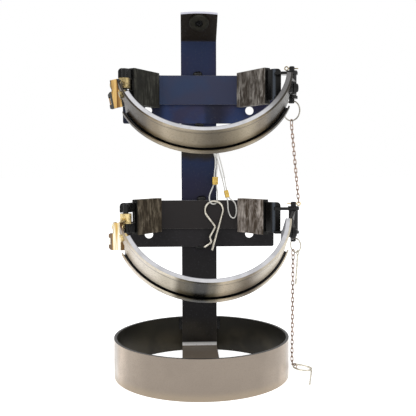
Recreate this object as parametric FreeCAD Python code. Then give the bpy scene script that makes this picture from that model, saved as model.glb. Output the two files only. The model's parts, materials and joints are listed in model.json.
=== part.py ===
import FreeCAD, Part
import math
import os

# Fire extinguisher bracket: a flat back strap with a bent foot and a bent top tab, a base ring
# that the cylinder stands in, and two rows of a cross plate, a folded cradle with rubber sleeves
# and a swinging clamp band. Each band hinges on the right and is pulled shut by an eyebolt and a
# lever on the left. Both bands hang open. Safety chains, a clip and lanyards hang from them.
#
# The origin is the middle of the four wall holes, on the strap's front face. +Z is up, +X is to
# the viewer's right and -Y points away from the wall. A depth is measured forward of the strap's
# front face, so a point at depth d has y = -d.

os.makedirs("parts", exist_ok=True)
V = FreeCAD.Vector
X_AXIS = V(1, 0, 0)
Y_AXIS = V(0, 1, 0)
Z_AXIS = V(0, 0, 1)

# Wall hole pattern
hole_spacing = 121.0
row_pitch = 147.5
wall_hole = 10.0
hole_to_foot = 140.4
foot_gap = 3.0
foot_z = -row_pitch / 2 - hole_to_foot
floor_z = foot_z - foot_gap

# Steel sheet and the back strap
sheet = 3.0
strap_width = 42.0
strap_rise = 370.6
tab_length = 42.0
tab_angle = 56.0
tab_sagitta = 1.6
foot_length = 52.0
fold_radius = 3.0

# The cylinder that the bracket holds
cylinder_radius = 80.0

# Base ring, a little wider than it is deep
ring_side_margin = 14.4
ring_front_margin = 9.7
ring_wall = 3.0
ring_height = 41.5
ring_weld_height = 15.0
ring_weld_leg = 4.0
strap_seat_gap = 0.05

# Cross plates
plate_width = 180.0
plate_height = 30.5
plate_corner = 2.0

# Cradles
cradle_height = 34.1
cradle_rise = 23.85
flat_half = 46.0
arm_reach = 52.6
arm_spread = 35.5
ear_length = 8.1
ear_corner = 4.0
cradle_fold = 4.0
notch_height = 12.5
notch_depth = 15.4
notch_back = 14.0

# Rubber sleeves on the cradle arms
sleeve_wall = 3.0
sleeve_overhang = 2.9
sleeve_edge = 1.6
sleeve_fit = 0.05

# Clamp bands, drawn level and then let down to the hanging angle. Angles run from straight ahead.
band_open = 3.9
liner_wall = 4.3
band_wall = 2.0
band_height = 30.0
gutter_wall = 1.5
gutter_reach = 4.0
gutter_lip = 5.6
gutter_fold = 0.7
gutter_setback_left = 1.0
gutter_setback_right = 14.0
tongue_angle = 9.0
tongue_height = 15.0
liner_bottom_gap = 1.0

# Lift pins: each band hangs from a rivet in the hinge leaf
lift_pin = 5.0
lift_head = 9.0
lift_head_height = 2.2
lift_washer = 10.0
lift_edge_angle = 4.5
bore_reach = 40.0

# Right hinge
hinge_pin = 6.0
hinge_x = 103.2
hinge_depth = 63.0
barrel_outer = 10.5
barrel_height = 22.6
running_gap = 0.06
side_gap = 0.3
lug_wall = 3.0
lug_radius = 6.5
lug_inner_x = 82.0
leaf_wall = 3.0
leaf_end_radius = 7.0
leaf_from_hinge = 7.4
leaf_bend_depth = 86.0
hinge_washer = 12.0
hinge_washer_wall = 1.2
cross_hole = 1.6
ring_hole = 3.0
stub_above = 2.2
tail_below = 2.7

# Left latch
latch_pin = 6.0
latch_x = -82.5
latch_half = 16.0
eye_outer = 13.0
eye_height = 11.0
shank = 6.0
shank_end_width = 5.4
shank_end_outer = 9.0
lever_pin = 4.0
lever_web = 9.6
lever_depth = 8.5
lever_wall = 1.6
lever_above = 5.0
lever_length = 29.5
lever_ears = 11.5
wing_depth = 9.0
wing_splay = 48.0
wing_round = 6.0
wing_slot_length = 9.0
wing_slot_width = 3.4
lever_pin_head = 1.0
tack_length = 3.0

# Keeper rivets near the left ends of the bands
keeper_shank = 4.0
keeper_head = 7.5
keeper_head_height = 2.6
keeper_beyond = 3.0

# Top bumper
bumper_outer = 22.0
bumper_height = 3.6
bumper_recess = 9.6
bumper_recess_depth = 1.8
bumper_along = 31.5
bumper_screw_fit = 0.1
bumper_screw_shank = 5.0
bumper_screw_head = 8.0
bumper_screw_height = 1.2

# Welds
weld_radius = 3.8
low_weld_radius = 2.6

# Rings, chains and wire pieces
ring_wire = 1.5
link_wire = 1.1
link_width = 3.6
link_straight = 4.0
link_slack = 0.12
link_turn = 90.0
joiner_wire = 1.1
joiner_width = 5.2
joiner_straight = 3.6
cotter_wire = 1.2
cotter_eye = 1.9
cotter_leg = 11.0
tether_wire = 2.0
tether_eye = 2.1
tether_length = 34.0
pull_ring_wire = 1.9
pull_ring_radius = 10.0
pull_leg = 46.0
pull_leg_turn = 14.0
pull_ring_clear = 16.4
pull_ring_depth = 82.0
pull_coil_turn = 520.0
chain_ring_angle = 30.0
tether_ring_angle = 25.0
chain_bend = 6.0
pull_ring_tilt = 7.0
pull_ring_squeeze = 0.4
hook_wire = 1.2
hook_radius = 2.5
hook_turn = 35.0
tether_eye_wire = 1.2
tether_slant = 0.06

# Lanyards and their ferrules, the hitch clip and the anchor screw
lanyard_wire = 1.6
clip_wire = 2.5
clip_depth = 9.1
clip_head = 10.7
clip_bend = 2.6
ferrule_depth = 3.8
anchor_x = 17.5
anchor_height = 247.0
anchor_shank = 5.0
anchor_head = 9.5
anchor_stand = 4.4
anchor_head_height = 2.4

# Worked out from the sizes above
liner_inner = cylinder_radius + band_open
web_inner = liner_inner + liner_wall
web_outer = web_inner + band_wall
ring_half_width = cylinder_radius + ring_side_margin
ring_half_depth = cylinder_radius + ring_front_margin
strap_share = strap_width / 2 / (ring_half_width - ring_wall)
ring_depth = (ring_half_depth - ring_wall) * math.sqrt(1 - strap_share ** 2) - sheet - strap_seat_gap
pull_ring_x = ring_half_width + pull_ring_clear
arm_length = math.hypot(arm_reach, arm_spread)
arm_along = V(arm_spread, -arm_reach, 0) / arm_length
cradle_mid = 1.5 * sheet
ear_depth = cradle_mid + arm_reach
ear_front = ear_depth + sheet / 2
ear_bend = flat_half + arm_spread
ear_end = ear_bend + ear_length

# The two rows differ in their hinge places, in how their bands hang and in how their sleeves sit.
# A sleeve has its start along the arm, its length and how far it has slipped down.
rows = [
    {
        "name": "upper",
        "hole_z": row_pitch / 2,
        "hinge_x": hinge_x - 2.5,
        "leaf_x": hinge_x - 1.0 - leaf_from_hinge,
        "lug_drop": 2.0,
        "lift_drop": 10.9,
        "lift_angle": 74.5,
        "left_end": 66.0,
        "band_x": 4.3,
        "band_depth": 87.2,
        "droop": 53.8,
        "roll": 2.0,
        "ring_radius": 10.75,
        "ring_turn": 45.0,
        "ring_lean": 0.0,
        "ring_drop": 2.3,
        "cotter_side": -1,
        "shank_out": 15.0,
        "shank_down": 11.5,
        "shank_reach": 24.8,
        "lever_tilt": -10.0,
        "sleeves": {-1: (6.0, 47.5, 1.4), 1: (3.2, 50.3, 0.5)},
        "weld": (-3.0, 0.5),
        "low_weld": (-2.5, 3.5),
    },
    {
        "name": "lower",
        "hole_z": -row_pitch / 2,
        "hinge_x": hinge_x,
        "leaf_x": hinge_x - leaf_from_hinge,
        "lug_drop": 3.0,
        "lift_drop": 13.0,
        "lift_angle": 83.0,
        "left_end": 61.5,
        "band_x": 2.1,
        "band_depth": 91.7,
        "droop": 49.0,
        "roll": -4.8,
        "ring_radius": 7.75,
        "ring_turn": 55.0,
        "ring_lean": 30.0,
        "ring_drop": 6.4,
        "cotter_side": 1,
        "shank_out": 14.0,
        "shank_down": 16.5,
        "shank_reach": 25.0,
        "lever_tilt": 0.0,
        "sleeves": {-1: (3.2, 46.3, 0.0), 1: (4.5, 46.5, 0.5)},
        "weld": (1.0, 4.5),
        "low_weld": (-2.0, 3.5),
    },
]
upper, lower = rows
for row in rows:
    row["cradle_z"] = row["hole_z"] + cradle_rise
    row["hinge_z"] = row["cradle_z"] - row["lug_drop"]
    row["right_end"] = row["lift_angle"] + lift_edge_angle
    row["lift_depth"] = row["band_depth"] + web_outer * math.cos(math.radians(row["lift_angle"]))
    row["lift"] = V(row["leaf_x"], -row["lift_depth"], row["cradle_z"] - row["lift_drop"])


# Plain helpers

def at(x, depth, z):
    """A point from its depth forward of the strap's front face."""
    return V(x, -depth, z)


def above_floor(x, depth, height):
    """A point from its height above the floor that the ring stands on."""
    return V(x, -depth, floor_z + height)


def above_foot(x, depth, height):
    """A point from its height above the underside of the strap's foot."""
    return V(x, -depth, foot_z + height)


def block(x0, x1, depth0, depth1, z0, z1):
    """A box between two depths."""
    return Part.makeBox(x1 - x0, depth1 - depth0, z1 - z0, V(x0, -depth1, z0))


def rod(start, direction, length, diameter):
    """A round bar from a start point along a direction."""
    return Part.makeCylinder(diameter / 2, length, start, direction)


def prism(points, direction):
    """A flat outline of points pushed along a direction."""
    return Part.Face(Part.makePolygon(points + [points[0]])).extrude(direction)


def fuse(pieces):
    """One solid from pieces that meet, with its seams taken out."""
    return pieces[0].multiFuse(pieces[1:]).removeSplitter()


def rounded_edges(points, radii):
    """Straight runs through the points, joined by tangent arcs of the radii given for the inner points."""
    edges = []
    start = points[0]
    for index in range(1, len(points) - 1):
        corner = points[index]
        back = (points[index - 1] - corner).normalize()
        ahead = (points[index + 1] - corner).normalize()
        half_turn = (math.pi - back.getAngle(ahead)) / 2
        reach = radii[index - 1] * math.tan(half_turn)
        arc_start = corner + back * reach
        arc_end = corner + ahead * reach
        centre_way = (back + ahead).normalize()
        middle = corner + centre_way * (radii[index - 1] / math.cos(half_turn) - radii[index - 1])
        edges.append(Part.LineSegment(start, arc_start).toShape())
        edges.append(Part.Arc(arc_start, middle, arc_end).toShape())
        start = arc_end
    edges.append(Part.LineSegment(start, points[-1]).toShape())
    return edges


def fold_face(points, normal, wall, radius):
    """The edge-on face of a folded sheet: a centre path in one plane, given wall and inner fold radius."""
    sides = []
    for side in (1, -1):
        line = []
        radii = []
        for index, point in enumerate(points):
            before = points[max(index - 1, 0)]
            after = points[min(index + 1, len(points) - 1)]
            way_in = (point - before) if index else (after - point)
            way_out = (after - point) if index < len(points) - 1 else (point - before)
            way_in = way_in.normalize()
            way_out = way_out.normalize()
            across = (normal.cross(way_in) + normal.cross(way_out)).normalize()
            stretch = across.dot(normal.cross(way_in).normalize())
            line.append(point + across * (side * wall / 2 / stretch))
            if 0 < index < len(points) - 1:
                turns_left = normal.dot(way_in.cross(way_out)) > 0
                radii.append(radius if turns_left == (side > 0) else radius + wall)
        sides.append((line, radii))
    (left, left_radii), (right, right_radii) = sides
    edges = rounded_edges(left, left_radii)
    edges.append(Part.LineSegment(left[-1], right[-1]).toShape())
    edges.extend(rounded_edges(right[::-1], right_radii[::-1]))
    edges.append(Part.LineSegment(right[0], left[0]).toShape())
    return Part.Face(Part.Wire(Part.__sortEdges__(edges)))


def round_sweep(edges, diameter):
    """A round wire along tangent edges."""
    path = Part.Wire(edges)
    first = path.Edges[0]
    start = first.valueAt(first.FirstParameter)
    along = first.tangentAt(first.FirstParameter)
    section = Part.Wire(Part.makeCircle(diameter / 2, start, along))
    return path.makePipeShell([section], True, False)


def wire_rod(points, diameter, bend):
    """A stiff wire bent at the inner points, each bend as large as its runs leave room for."""
    radii = []
    for index in range(1, len(points) - 1):
        run_in = points[index] - points[index - 1]
        run_out = points[index + 1] - points[index]
        half_turn = run_in.getAngle(run_out) / 2
        room = 0.49 * min(run_in.Length, run_out.Length) / math.tan(half_turn)
        radii.append(min(bend, room))
    return round_sweep(rounded_edges(points, radii), diameter)


def cord_tube(name, points, diameter):
    """A limp cord: straight runs and tangent arcs, each arc 0.45 of its shorter run over the half turn."""
    radii = []
    for index in range(1, len(points) - 1):
        run_in = points[index] - points[index - 1]
        run_out = points[index + 1] - points[index]
        half_turn = run_in.getAngle(run_out) / 2
        radii.append(0.45 * min(run_in.Length, run_out.Length) / math.tan(half_turn))
    edges = rounded_edges(points, radii)
    tube = round_sweep(edges, diameter)
    length = sum(edge.Length for edge in edges)
    share = tube.Volume / (math.pi * diameter ** 2 / 4 * length)
    print(name, "length %.1f" % length, "volume share %.4f" % share, "radii", ["%.1f" % r for r in radii])
    return tube


def sector(face, centre, start_angle, end_angle):
    """A face drawn in the plane through the band's axis, swept between two angles from straight ahead."""
    placed = face.copy()
    placed.rotate(V(0, 0, 0), Z_AXIS, start_angle)
    placed.translate(centre)
    return placed.revolve(centre, Z_AXIS, end_angle - start_angle)


def ahead_face(points):
    """A face from radius and height pairs, drawn straight ahead of the band's axis."""
    corners = [V(0, -radius, z) for radius, z in points]
    return Part.Face(Part.makePolygon(corners + [corners[0]]))


def circle_point(centre, radius, angle):
    """The point on a circle round the band's axis at an angle from straight ahead."""
    turn = math.radians(angle)
    return centre + V(radius * math.sin(turn), -radius * math.cos(turn), 0)


# Back strap, ring and plates

def make_back_strap():
    """One folded strip: a foot inside the ring, the upright and a top tab that leans out."""
    lean = math.radians(tab_angle)
    tab_way = V(0, -math.sin(lean), math.cos(lean))
    path = [
        above_foot(-strap_width / 2, foot_length, sheet / 2),
        above_foot(-strap_width / 2, -sheet / 2, sheet / 2),
        above_foot(-strap_width / 2, -sheet / 2, strap_rise),
    ]
    path.append(path[2] + tab_way * (tab_length + tab_sagitta))
    strip = fold_face(path, X_AXIS, sheet, fold_radius).extrude(X_AXIS * strap_width)
    half = strap_width / 2
    tip_radius = (half ** 2 + tab_sagitta ** 2) / (2 * tab_sagitta)
    tab_normal = X_AXIS.cross(tab_way)
    bend = path[2] + X_AXIS * half
    round_centre = bend + tab_way * (tab_length + tab_sagitta - tip_radius) - tab_normal * (2 * sheet)
    keep_round = Part.makeCylinder(tip_radius, 4 * sheet, round_centre, tab_normal)
    tip_start = bend - tab_normal * (2 * sheet) - X_AXIS * strap_width + tab_way * (tab_length / 2)
    reach = tab_length
    trim = prism(
        [tip_start, tip_start + X_AXIS * (2 * strap_width),
         tip_start + X_AXIS * (2 * strap_width) + tab_way * reach, tip_start + tab_way * reach],
        tab_normal * (4 * sheet),
    ).cut(keep_round)
    return strip.cut(trim)


def oval(inset):
    """A tall oval block with the ring's outline, set in by a distance."""
    outline = Part.Ellipse(above_floor(0, ring_depth, 0), ring_half_width - inset, ring_half_depth - inset)
    return Part.Face(Part.Wire([outline.toShape()])).extrude(Z_AXIS * ring_height)


def make_base_ring():
    """The open ring that the cylinder's foot stands in, a little wider than it is deep."""
    return oval(0).cut(oval(ring_wall))


def make_ring_welds(strap):
    """Fillet welds down both strap edges, where the strap meets the ring's inner wall."""
    bore = oval(ring_wall)
    z = ring_height - ring_weld_height
    beads = []
    for side in (-1, 1):
        edge = side * strap_width / 2
        toe = edge + side * ring_weld_leg
        outline = [
            above_floor(edge, -sheet / 4, z),
            above_floor(toe, -sheet / 2, z),
            above_floor(toe, -2 * sheet, z),
            above_floor(edge, -2 * sheet, z),
        ]
        beads.append(prism(outline, Z_AXIS * ring_weld_height).common(bore).cut(strap))
    return Part.makeCompound([solid for bead in beads for solid in bead.Solids])


def make_cross_plate(row):
    """A flat plate across the strap with two wall holes."""
    z0 = row["hole_z"] - plate_height / 2
    plate = block(-plate_width / 2, plate_width / 2, 0, sheet, z0, z0 + plate_height)
    corners = [edge for edge in plate.Edges
               if abs(edge.Vertexes[0].Y - edge.Vertexes[1].Y) > sheet / 2]
    plate = plate.makeFillet(plate_corner, corners)
    for side in (-1, 1):
        hole = rod(at(side * hole_spacing / 2, -sheet, row["hole_z"]), -Y_AXIS, 3 * sheet, wall_hole)
        plate = plate.cut(hole)
    return plate


def cradle_path(z):
    """The cradle's centre line in plan: ear, arm, flat back, arm, ear."""
    return [
        at(-ear_end, ear_depth, z),
        at(-ear_bend, ear_depth, z),
        at(-flat_half, cradle_mid, z),
        at(flat_half, cradle_mid, z),
        at(ear_bend, ear_depth, z),
        at(ear_end, ear_depth, z),
    ]


def make_cradle(row):
    """The folded cradle, with a fork cut into its left ear for the latch eyebolt."""
    z0 = row["cradle_z"] - cradle_height / 2
    cradle = fold_face(cradle_path(z0), Z_AXIS, sheet, cradle_fold).extrude(Z_AXIS * cradle_height)
    corners = [edge for edge in cradle.Edges
               if all(abs(abs(vertex.X) - ear_end) < 0.01 for vertex in edge.Vertexes)
               and abs(edge.Vertexes[0].Z - edge.Vertexes[1].Z) < 0.01]
    cradle = cradle.makeFillet(ear_corner, corners)
    notch = block(-ear_end - 1, -ear_end + notch_depth, ear_depth - notch_back, ear_depth + sheet,
                  row["cradle_z"] - notch_height / 2, row["cradle_z"] + notch_height / 2)
    return cradle.cut(notch)


def make_sleeve(row, side):
    """A rubber sleeve slid over one arm of the cradle."""
    start, length, slip = row["sleeves"][side]
    across = V(-arm_along.y, arm_along.x, 0)
    height = cradle_height + 2 * sleeve_overhang

    def slab(from_bend, run, thickness, tall, drop):
        foot = at(flat_half, cradle_mid, row["cradle_z"] - tall / 2 - drop) + arm_along * from_bend
        corners = [foot + across * (thickness / 2), foot - across * (thickness / 2)]
        corners = corners + [corner + arm_along * run for corner in corners[::-1]]
        return prism(corners, Z_AXIS * tall)

    outer = slab(start, length, sheet + 2 * sleeve_wall, height, slip)
    upright = [edge for edge in outer.Edges if abs(edge.Vertexes[0].Z - edge.Vertexes[1].Z) > 1]
    outer = outer.makeFillet(sleeve_edge, upright)
    inner = slab(start - 1, length + 2, sheet + 2 * sleeve_fit, cradle_height + 2 * sleeve_fit, 0)
    sleeve = outer.cut(inner)
    return sleeve if side > 0 else sleeve.mirror(V(0, 0, 0), X_AXIS)


def lump(start, end, radius):
    """A run of weld: a round-ended bar."""
    way = end - start
    return Part.makeSphere(radius, start).multiFuse([
        Part.makeCylinder(radius, way.Length, start, way),
        Part.makeSphere(radius, end),
    ])


def make_weld_beads(strap, row, plate, cradle):
    """The weld over the cradle's top edge and the one under the plate."""
    top = row["cradle_z"] + cradle_height / 2
    low = row["hole_z"] - plate_height / 2
    left, right = row["weld"]
    over = lump(at(left, sheet * 0.8, top + 1.2), at(right, sheet * 0.8, top + 1.6), weld_radius)
    left, right = row["low_weld"]
    under = lump(at(left, 0.6, low - 0.4), at(right, 0.6, low - 0.8), low_weld_radius)
    beads = [bead.cut(strap).cut(plate).cut(cradle) for bead in (over, under)]
    return Part.makeCompound([max(bead.Solids, key=lambda solid: solid.Volume) for bead in beads])


def make_latch_tacks(row, pin, cradle):
    """Small welds that hold the latch pin's ends to the ear."""
    tacks = []
    for side in (-1, 1):
        z0 = row["cradle_z"] + side * latch_half
        z1 = z0 - side * tack_length
        outline = [
            at(latch_x - latch_pin * 0.75, ear_front, z1),
            at(latch_x + latch_pin * 0.75, ear_front, z1),
            at(latch_x, ear_front + latch_pin * 0.55, z1),
        ]
        tack = prism(outline, V(0, 0, z0 - z1)).cut(pin).cut(cradle)
        tacks.extend(tack.Solids)
    return tacks


# Top bumper

def tab_point(along, lift):
    """A point on the tab: along it from its fold, and out from its lower front face."""
    lean = math.radians(tab_angle)
    tab_way = V(0, -math.sin(lean), math.cos(lean))
    out = V(0, -math.cos(lean), -math.sin(lean))
    return above_foot(0, -sheet / 2, strap_rise) + tab_way * along + out * (sheet / 2 + lift), out


def make_top_bumper():
    """A rubber bumper on the tab, with a recess for its screw."""
    seat, out = tab_point(bumper_along, 0)
    puck = Part.makeCylinder(bumper_outer / 2, bumper_height, seat, out)
    rim = [edge for edge in puck.Edges if len(edge.Vertexes) == 1
           and (edge.CenterOfMass - seat).dot(out) > bumper_height / 2]
    puck = puck.makeFillet(bumper_height / 4, rim)
    recess = Part.makeCylinder(bumper_recess / 2, bumper_height, seat + out * (bumper_height - bumper_recess_depth), out)
    return puck.cut(recess).cut(Part.makeCylinder(bumper_screw_shank / 2, bumper_height, seat, out))


def make_bumper_screw():
    """The screw through the bumper and the tab's hole."""
    seat, out = tab_point(bumper_along, 0)
    head_seat = seat + out * (bumper_height - bumper_recess_depth)
    shank_start = seat - out * (sheet + 2.0)
    shank_length = (head_seat - shank_start).Length
    screw = Part.makeCylinder(bumper_screw_shank / 2, shank_length, shank_start, out)
    head = Part.makeCylinder(bumper_screw_head / 2, bumper_screw_height, head_seat, out)
    socket = Part.makeCylinder(bumper_screw_head / 5, bumper_screw_height, head_seat + out * 0.6, out)
    return fuse([screw, head]).cut(socket)


# Clamp bands

def band_centre(row):
    """The centre of a band at its own mid height, when it is level."""
    return at(row["band_x"], row["band_depth"], row["lift"].z)


def hang(shape, row):
    """Let a level band piece down to the angle that it hangs at."""
    placed = shape.copy()
    placed.rotate(row["lift"], X_AXIS, row["droop"])
    placed.rotate(row["lift"], Y_AXIS, -row["roll"])
    return placed


def lift_bore(row, diameter):
    """The lift pin's hole along its axis, with the band level."""
    return rod(row["lift"] - X_AXIS * (bore_reach / 2), X_AXIS, bore_reach, diameter)


def keeper_place(row):
    """The keeper rivet's seat on the level band's outer face and its outward direction."""
    centre = band_centre(row)
    angle = row["left_end"] + keeper_beyond
    seat = circle_point(centre, web_outer, -angle) + Z_AXIS * (tongue_height / 2)
    return seat, (seat - centre - Z_AXIS * (tongue_height / 2)).normalize()


def make_band_blank(row):
    """The steel band with no holes: a web, a gutter rolled along its lower edge and a left tongue."""
    centre = band_centre(row)
    half = band_height / 2
    web_face = ahead_face([(web_inner, -half), (web_outer, -half), (web_outer, half), (web_inner, half)])
    web = sector(web_face, centre, -row["left_end"], row["right_end"])
    gutter_path = [
        V(0, -web_outer + gutter_wall / 2, 0),
        V(0, -web_outer + gutter_wall / 2, -half + gutter_wall / 2),
        V(0, -web_outer - gutter_reach + gutter_wall / 2, -half + gutter_wall / 2),
        V(0, -web_outer - gutter_reach + gutter_wall / 2, -half + gutter_lip),
    ]
    gutter_face = fold_face(gutter_path, X_AXIS, gutter_wall, gutter_fold)
    gutter_left = gutter_setback_left - row["left_end"]
    gutter = sector(gutter_face, centre, gutter_left, row["right_end"] - gutter_setback_right)
    tongue_face = ahead_face([
        (web_inner, half - tongue_height),
        (web_outer, half - tongue_height),
        (web_outer, half),
        (web_inner, half),
    ])
    tongue = sector(tongue_face, centre, -row["left_end"] - tongue_angle, -row["left_end"])
    return web.multiFuse([gutter, tongue]).removeSplitter()


def drill_band(row, blank):
    """The band with the holes for its two rivets."""
    seat, out = keeper_place(row)
    return blank.cut(lift_bore(row, lift_pin)).cut(rod(seat - out * 10, out, 20, keeper_shank))


def make_liner_level(row):
    """The rubber liner inside the band, relieved round the two rivets' inner heads."""
    centre = band_centre(row)
    half = band_height / 2
    face = ahead_face([
        (liner_inner, -half + liner_bottom_gap),
        (web_inner, -half + liner_bottom_gap),
        (web_inner, half),
        (liner_inner, half),
    ])
    liner = sector(face, centre, -row["left_end"], row["right_end"])
    liner = liner.cut(lift_bore(row, lift_head + 1.0))
    seat, out = keeper_place(row)
    return liner.cut(rod(seat - out * 20, out, 30, keeper_head + 0.4))


def make_lift_rivet_level(row, blank):
    """The rivet that the band hangs from: a head inside the band, a shank and a head outside the leaf."""
    reach = math.sqrt(web_inner ** 2 - (row["lift_depth"] - row["band_depth"]) ** 2)
    x_in = row["leaf_x"] - row["band_x"] - reach
    leaf_face = leaf_wall / 2 + side_gap
    inner_start = row["lift"] - X_AXIS * (x_in + lift_head_height)
    shank = rod(inner_start, X_AXIS, x_in + lift_head_height + leaf_face + 0.5, lift_pin)
    inner = rod(inner_start, X_AXIS, lift_head_height + band_wall, lift_head).cut(blank)
    inner = min(inner.Solids, key=lambda solid: solid.CenterOfMass.x)
    outer = rod(row["lift"] + X_AXIS * leaf_face, X_AXIS, lift_head_height, lift_head)
    rim = [edge for edge in outer.Edges if len(edge.Vertexes) == 1
           and edge.CenterOfMass.x > row["lift"].x + leaf_face + lift_head_height / 2]
    outer = outer.makeFillet(lift_head_height * 0.6, rim)
    return fuse([shank, inner, outer])


def make_lift_washer_level(row, blank):
    """The spacer between the band's web and the hinge leaf."""
    reach = web_outer * 0.1
    start = row["lift"] - X_AXIS * (leaf_wall / 2 + side_gap + reach)
    washer = rod(start, X_AXIS, reach, lift_washer).cut(blank).cut(lift_bore(row, lift_pin))
    return max(washer.Solids, key=lambda solid: solid.CenterOfMass.x)


def make_keeper_level(row, blank):
    """The rivet near the left end that the lever catches."""
    seat, out = keeper_place(row)
    length = band_wall + keeper_head_height
    shank = rod(seat - out * length, out, length + 1, keeper_shank)
    outer = rod(seat - out, out, 1 + keeper_head_height, keeper_head).cut(blank)
    outer = max(outer.Solids, key=lambda solid: solid.CenterOfMass.sub(seat).dot(out))
    inner = rod(seat - out * length, out, keeper_head_height + 1, keeper_head).cut(blank)
    inner = min(inner.Solids, key=lambda solid: solid.CenterOfMass.sub(seat).dot(out))
    return fuse([shank, outer, inner])


# Right hinge

def make_hinge_lugs(row):
    """Two flat lugs on the right ear that carry the hinge pin."""
    lugs = []
    for side in (-1, 1):
        low = row["hinge_z"] + side * (barrel_height / 2 + side_gap) - (lug_wall if side < 0 else 0)
        pin = at(row["hinge_x"], hinge_depth, low)
        outline = [
            at(lug_inner_x, ear_front, low),
            at(ear_end + 0.6, ear_front, low),
            pin + V(0, lug_radius, 0),
            pin - V(0, lug_radius, 0),
            at(lug_inner_x, hinge_depth + lug_radius / 2, low),
        ]
        lug = prism(outline, Z_AXIS * lug_wall).fuse(Part.makeCylinder(lug_radius, lug_wall, pin))
        lug = lug.cut(rod(pin - Z_AXIS, Z_AXIS, lug_wall + 2, hinge_pin + 2 * running_gap))
        lugs.append(lug.removeSplitter())
    return Part.makeCompound([solid for lug in lugs for solid in lug.Solids])


def hinge_top(row):
    """The height of the top lug's upper face."""
    return row["hinge_z"] + barrel_height / 2 + side_gap + lug_wall


def hinge_bottom(row):
    """The height of the bottom lug's lower face."""
    return row["hinge_z"] - barrel_height / 2 - side_gap - lug_wall


def top_cross_z(row):
    """The height of the cotter's hole in the hinge pin."""
    return hinge_top(row) + hinge_washer_wall + cotter_eye + cotter_wire / 2 + 0.2


def low_cross_z(row):
    """The height of the ring's hole in the hinge pin."""
    return hinge_bottom(row) - row["ring_drop"]


def ring_frame(row):
    """The ring's place: the hole it hangs through, its centre and the level direction in its plane."""
    turn = math.radians(row["ring_turn"])
    lean = math.radians(row["ring_lean"])
    level = V(math.cos(turn), -math.sin(turn), 0)
    hole = at(row["hinge_x"], hinge_depth, low_cross_z(row))
    centre = hole + level * (row["ring_radius"] * math.sin(lean)) - Z_AXIS * (row["ring_radius"] * math.cos(lean))
    return hole, centre, level


def make_hinge_pin(row):
    """The hinge pin, cross drilled above for the cotter and below for the ring."""
    bottom = low_cross_z(row) - tail_below
    top = top_cross_z(row) + stub_above
    pin = rod(at(row["hinge_x"], hinge_depth, bottom), Z_AXIS, top - bottom, hinge_pin)
    ends = [edge for edge in pin.Edges if len(edge.Vertexes) == 1]
    pin = pin.makeChamfer(0.6, ends)
    top_hole = at(row["hinge_x"], hinge_depth, top_cross_z(row)) - X_AXIS * hinge_pin
    pin = pin.cut(rod(top_hole, X_AXIS, 2 * hinge_pin, cross_hole))
    hole, centre, level = ring_frame(row)
    normal = level.cross(Z_AXIS)
    spoke = (hole - centre).normalize()
    wire_way = normal.cross(spoke)
    return pin.cut(rod(hole - spoke * 0.3 - wire_way * hinge_pin, wire_way, 2 * hinge_pin, ring_hole))


def make_hinge_washer(row):
    """The washer between the top lug and the cotter."""
    seat = at(row["hinge_x"], hinge_depth, hinge_top(row))
    washer = rod(seat, Z_AXIS, hinge_washer_wall, hinge_washer)
    return washer.cut(rod(seat - Z_AXIS, Z_AXIS, hinge_washer_wall + 2, hinge_pin + 2 * running_gap))


def make_cotter(row):
    """The cotter: a round eye beside the pin and a leg through its hole."""
    z = top_cross_z(row)
    side = row["cotter_side"]
    centre = at(row["hinge_x"] + side * (hinge_pin / 2 + 0.4 + cotter_eye + cotter_wire / 2), hinge_depth, z)
    eye = Part.makeTorus(cotter_eye, cotter_wire / 2, centre, Y_AXIS)
    leg_start = centre - X_AXIS * (side * cotter_eye)
    return fuse([eye, rod(leg_start, X_AXIS * -side, cotter_leg, cotter_wire)]), centre


def make_swivel(row):
    """The hinge barrel with its leaf, which turns on the hinge pin and carries the band."""
    barrel_base = at(row["hinge_x"], hinge_depth, row["hinge_z"] - barrel_height / 2)
    barrel = rod(barrel_base, Z_AXIS, barrel_height, barrel_outer)
    end_depth = row["lift_depth"] + leaf_end_radius
    low = min(row["hinge_z"] - barrel_height / 2, row["lift"].z - leaf_end_radius)
    tall = row["hinge_z"] + barrel_height / 2 - low
    path = [
        at(row["hinge_x"], hinge_depth, low),
        at(row["leaf_x"], leaf_bend_depth, low),
        at(row["leaf_x"], end_depth, low),
    ]
    strip = fold_face(path, Z_AXIS, leaf_wall, cradle_fold).extrude(Z_AXIS * tall)
    x = row["leaf_x"] - 2 * leaf_end_radius
    hinge_low = row["hinge_z"] - barrel_height / 2
    hinge_high = row["hinge_z"] + barrel_height / 2
    outline = [
        at(x, hinge_depth - barrel_outer, hinge_low),
        at(x, hinge_depth - barrel_outer, hinge_high),
        at(x, hinge_depth + barrel_outer, hinge_high),
        at(x, row["lift_depth"], row["lift"].z + leaf_end_radius),
        at(x, row["lift_depth"], row["lift"].z - leaf_end_radius),
        at(x, leaf_bend_depth - leaf_end_radius, hinge_low),
    ]
    keep = prism(outline, X_AXIS * (5 * leaf_end_radius))
    keep = keep.fuse(rod(V(x, row["lift"].y, row["lift"].z), X_AXIS, 5 * leaf_end_radius, 2 * leaf_end_radius))
    leaf = strip.common(keep)
    leaf.rotate(row["lift"], Y_AXIS, -row["roll"])
    leaf = leaf.common(block(0, 2 * row["hinge_x"], 0, 2 * row["lift_depth"], low - 9, hinge_high))
    leaf = leaf.cut(block(0, 2 * row["hinge_x"], 0, hinge_depth + lug_radius + side_gap, low - 9, hinge_low))
    swivel = barrel.fuse(leaf)
    bore = rod(barrel_base - Z_AXIS * 9, Z_AXIS, barrel_height + 18, hinge_pin + 2 * running_gap)
    pin_way = V(math.cos(math.radians(row["roll"])), 0, math.sin(math.radians(row["roll"])))
    lift_hole = rod(row["lift"] - pin_way * (bore_reach / 2), pin_way, bore_reach, lift_pin + 2 * running_gap)
    return swivel.cut(bore).cut(lift_hole).removeSplitter()


# Left latch

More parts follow.
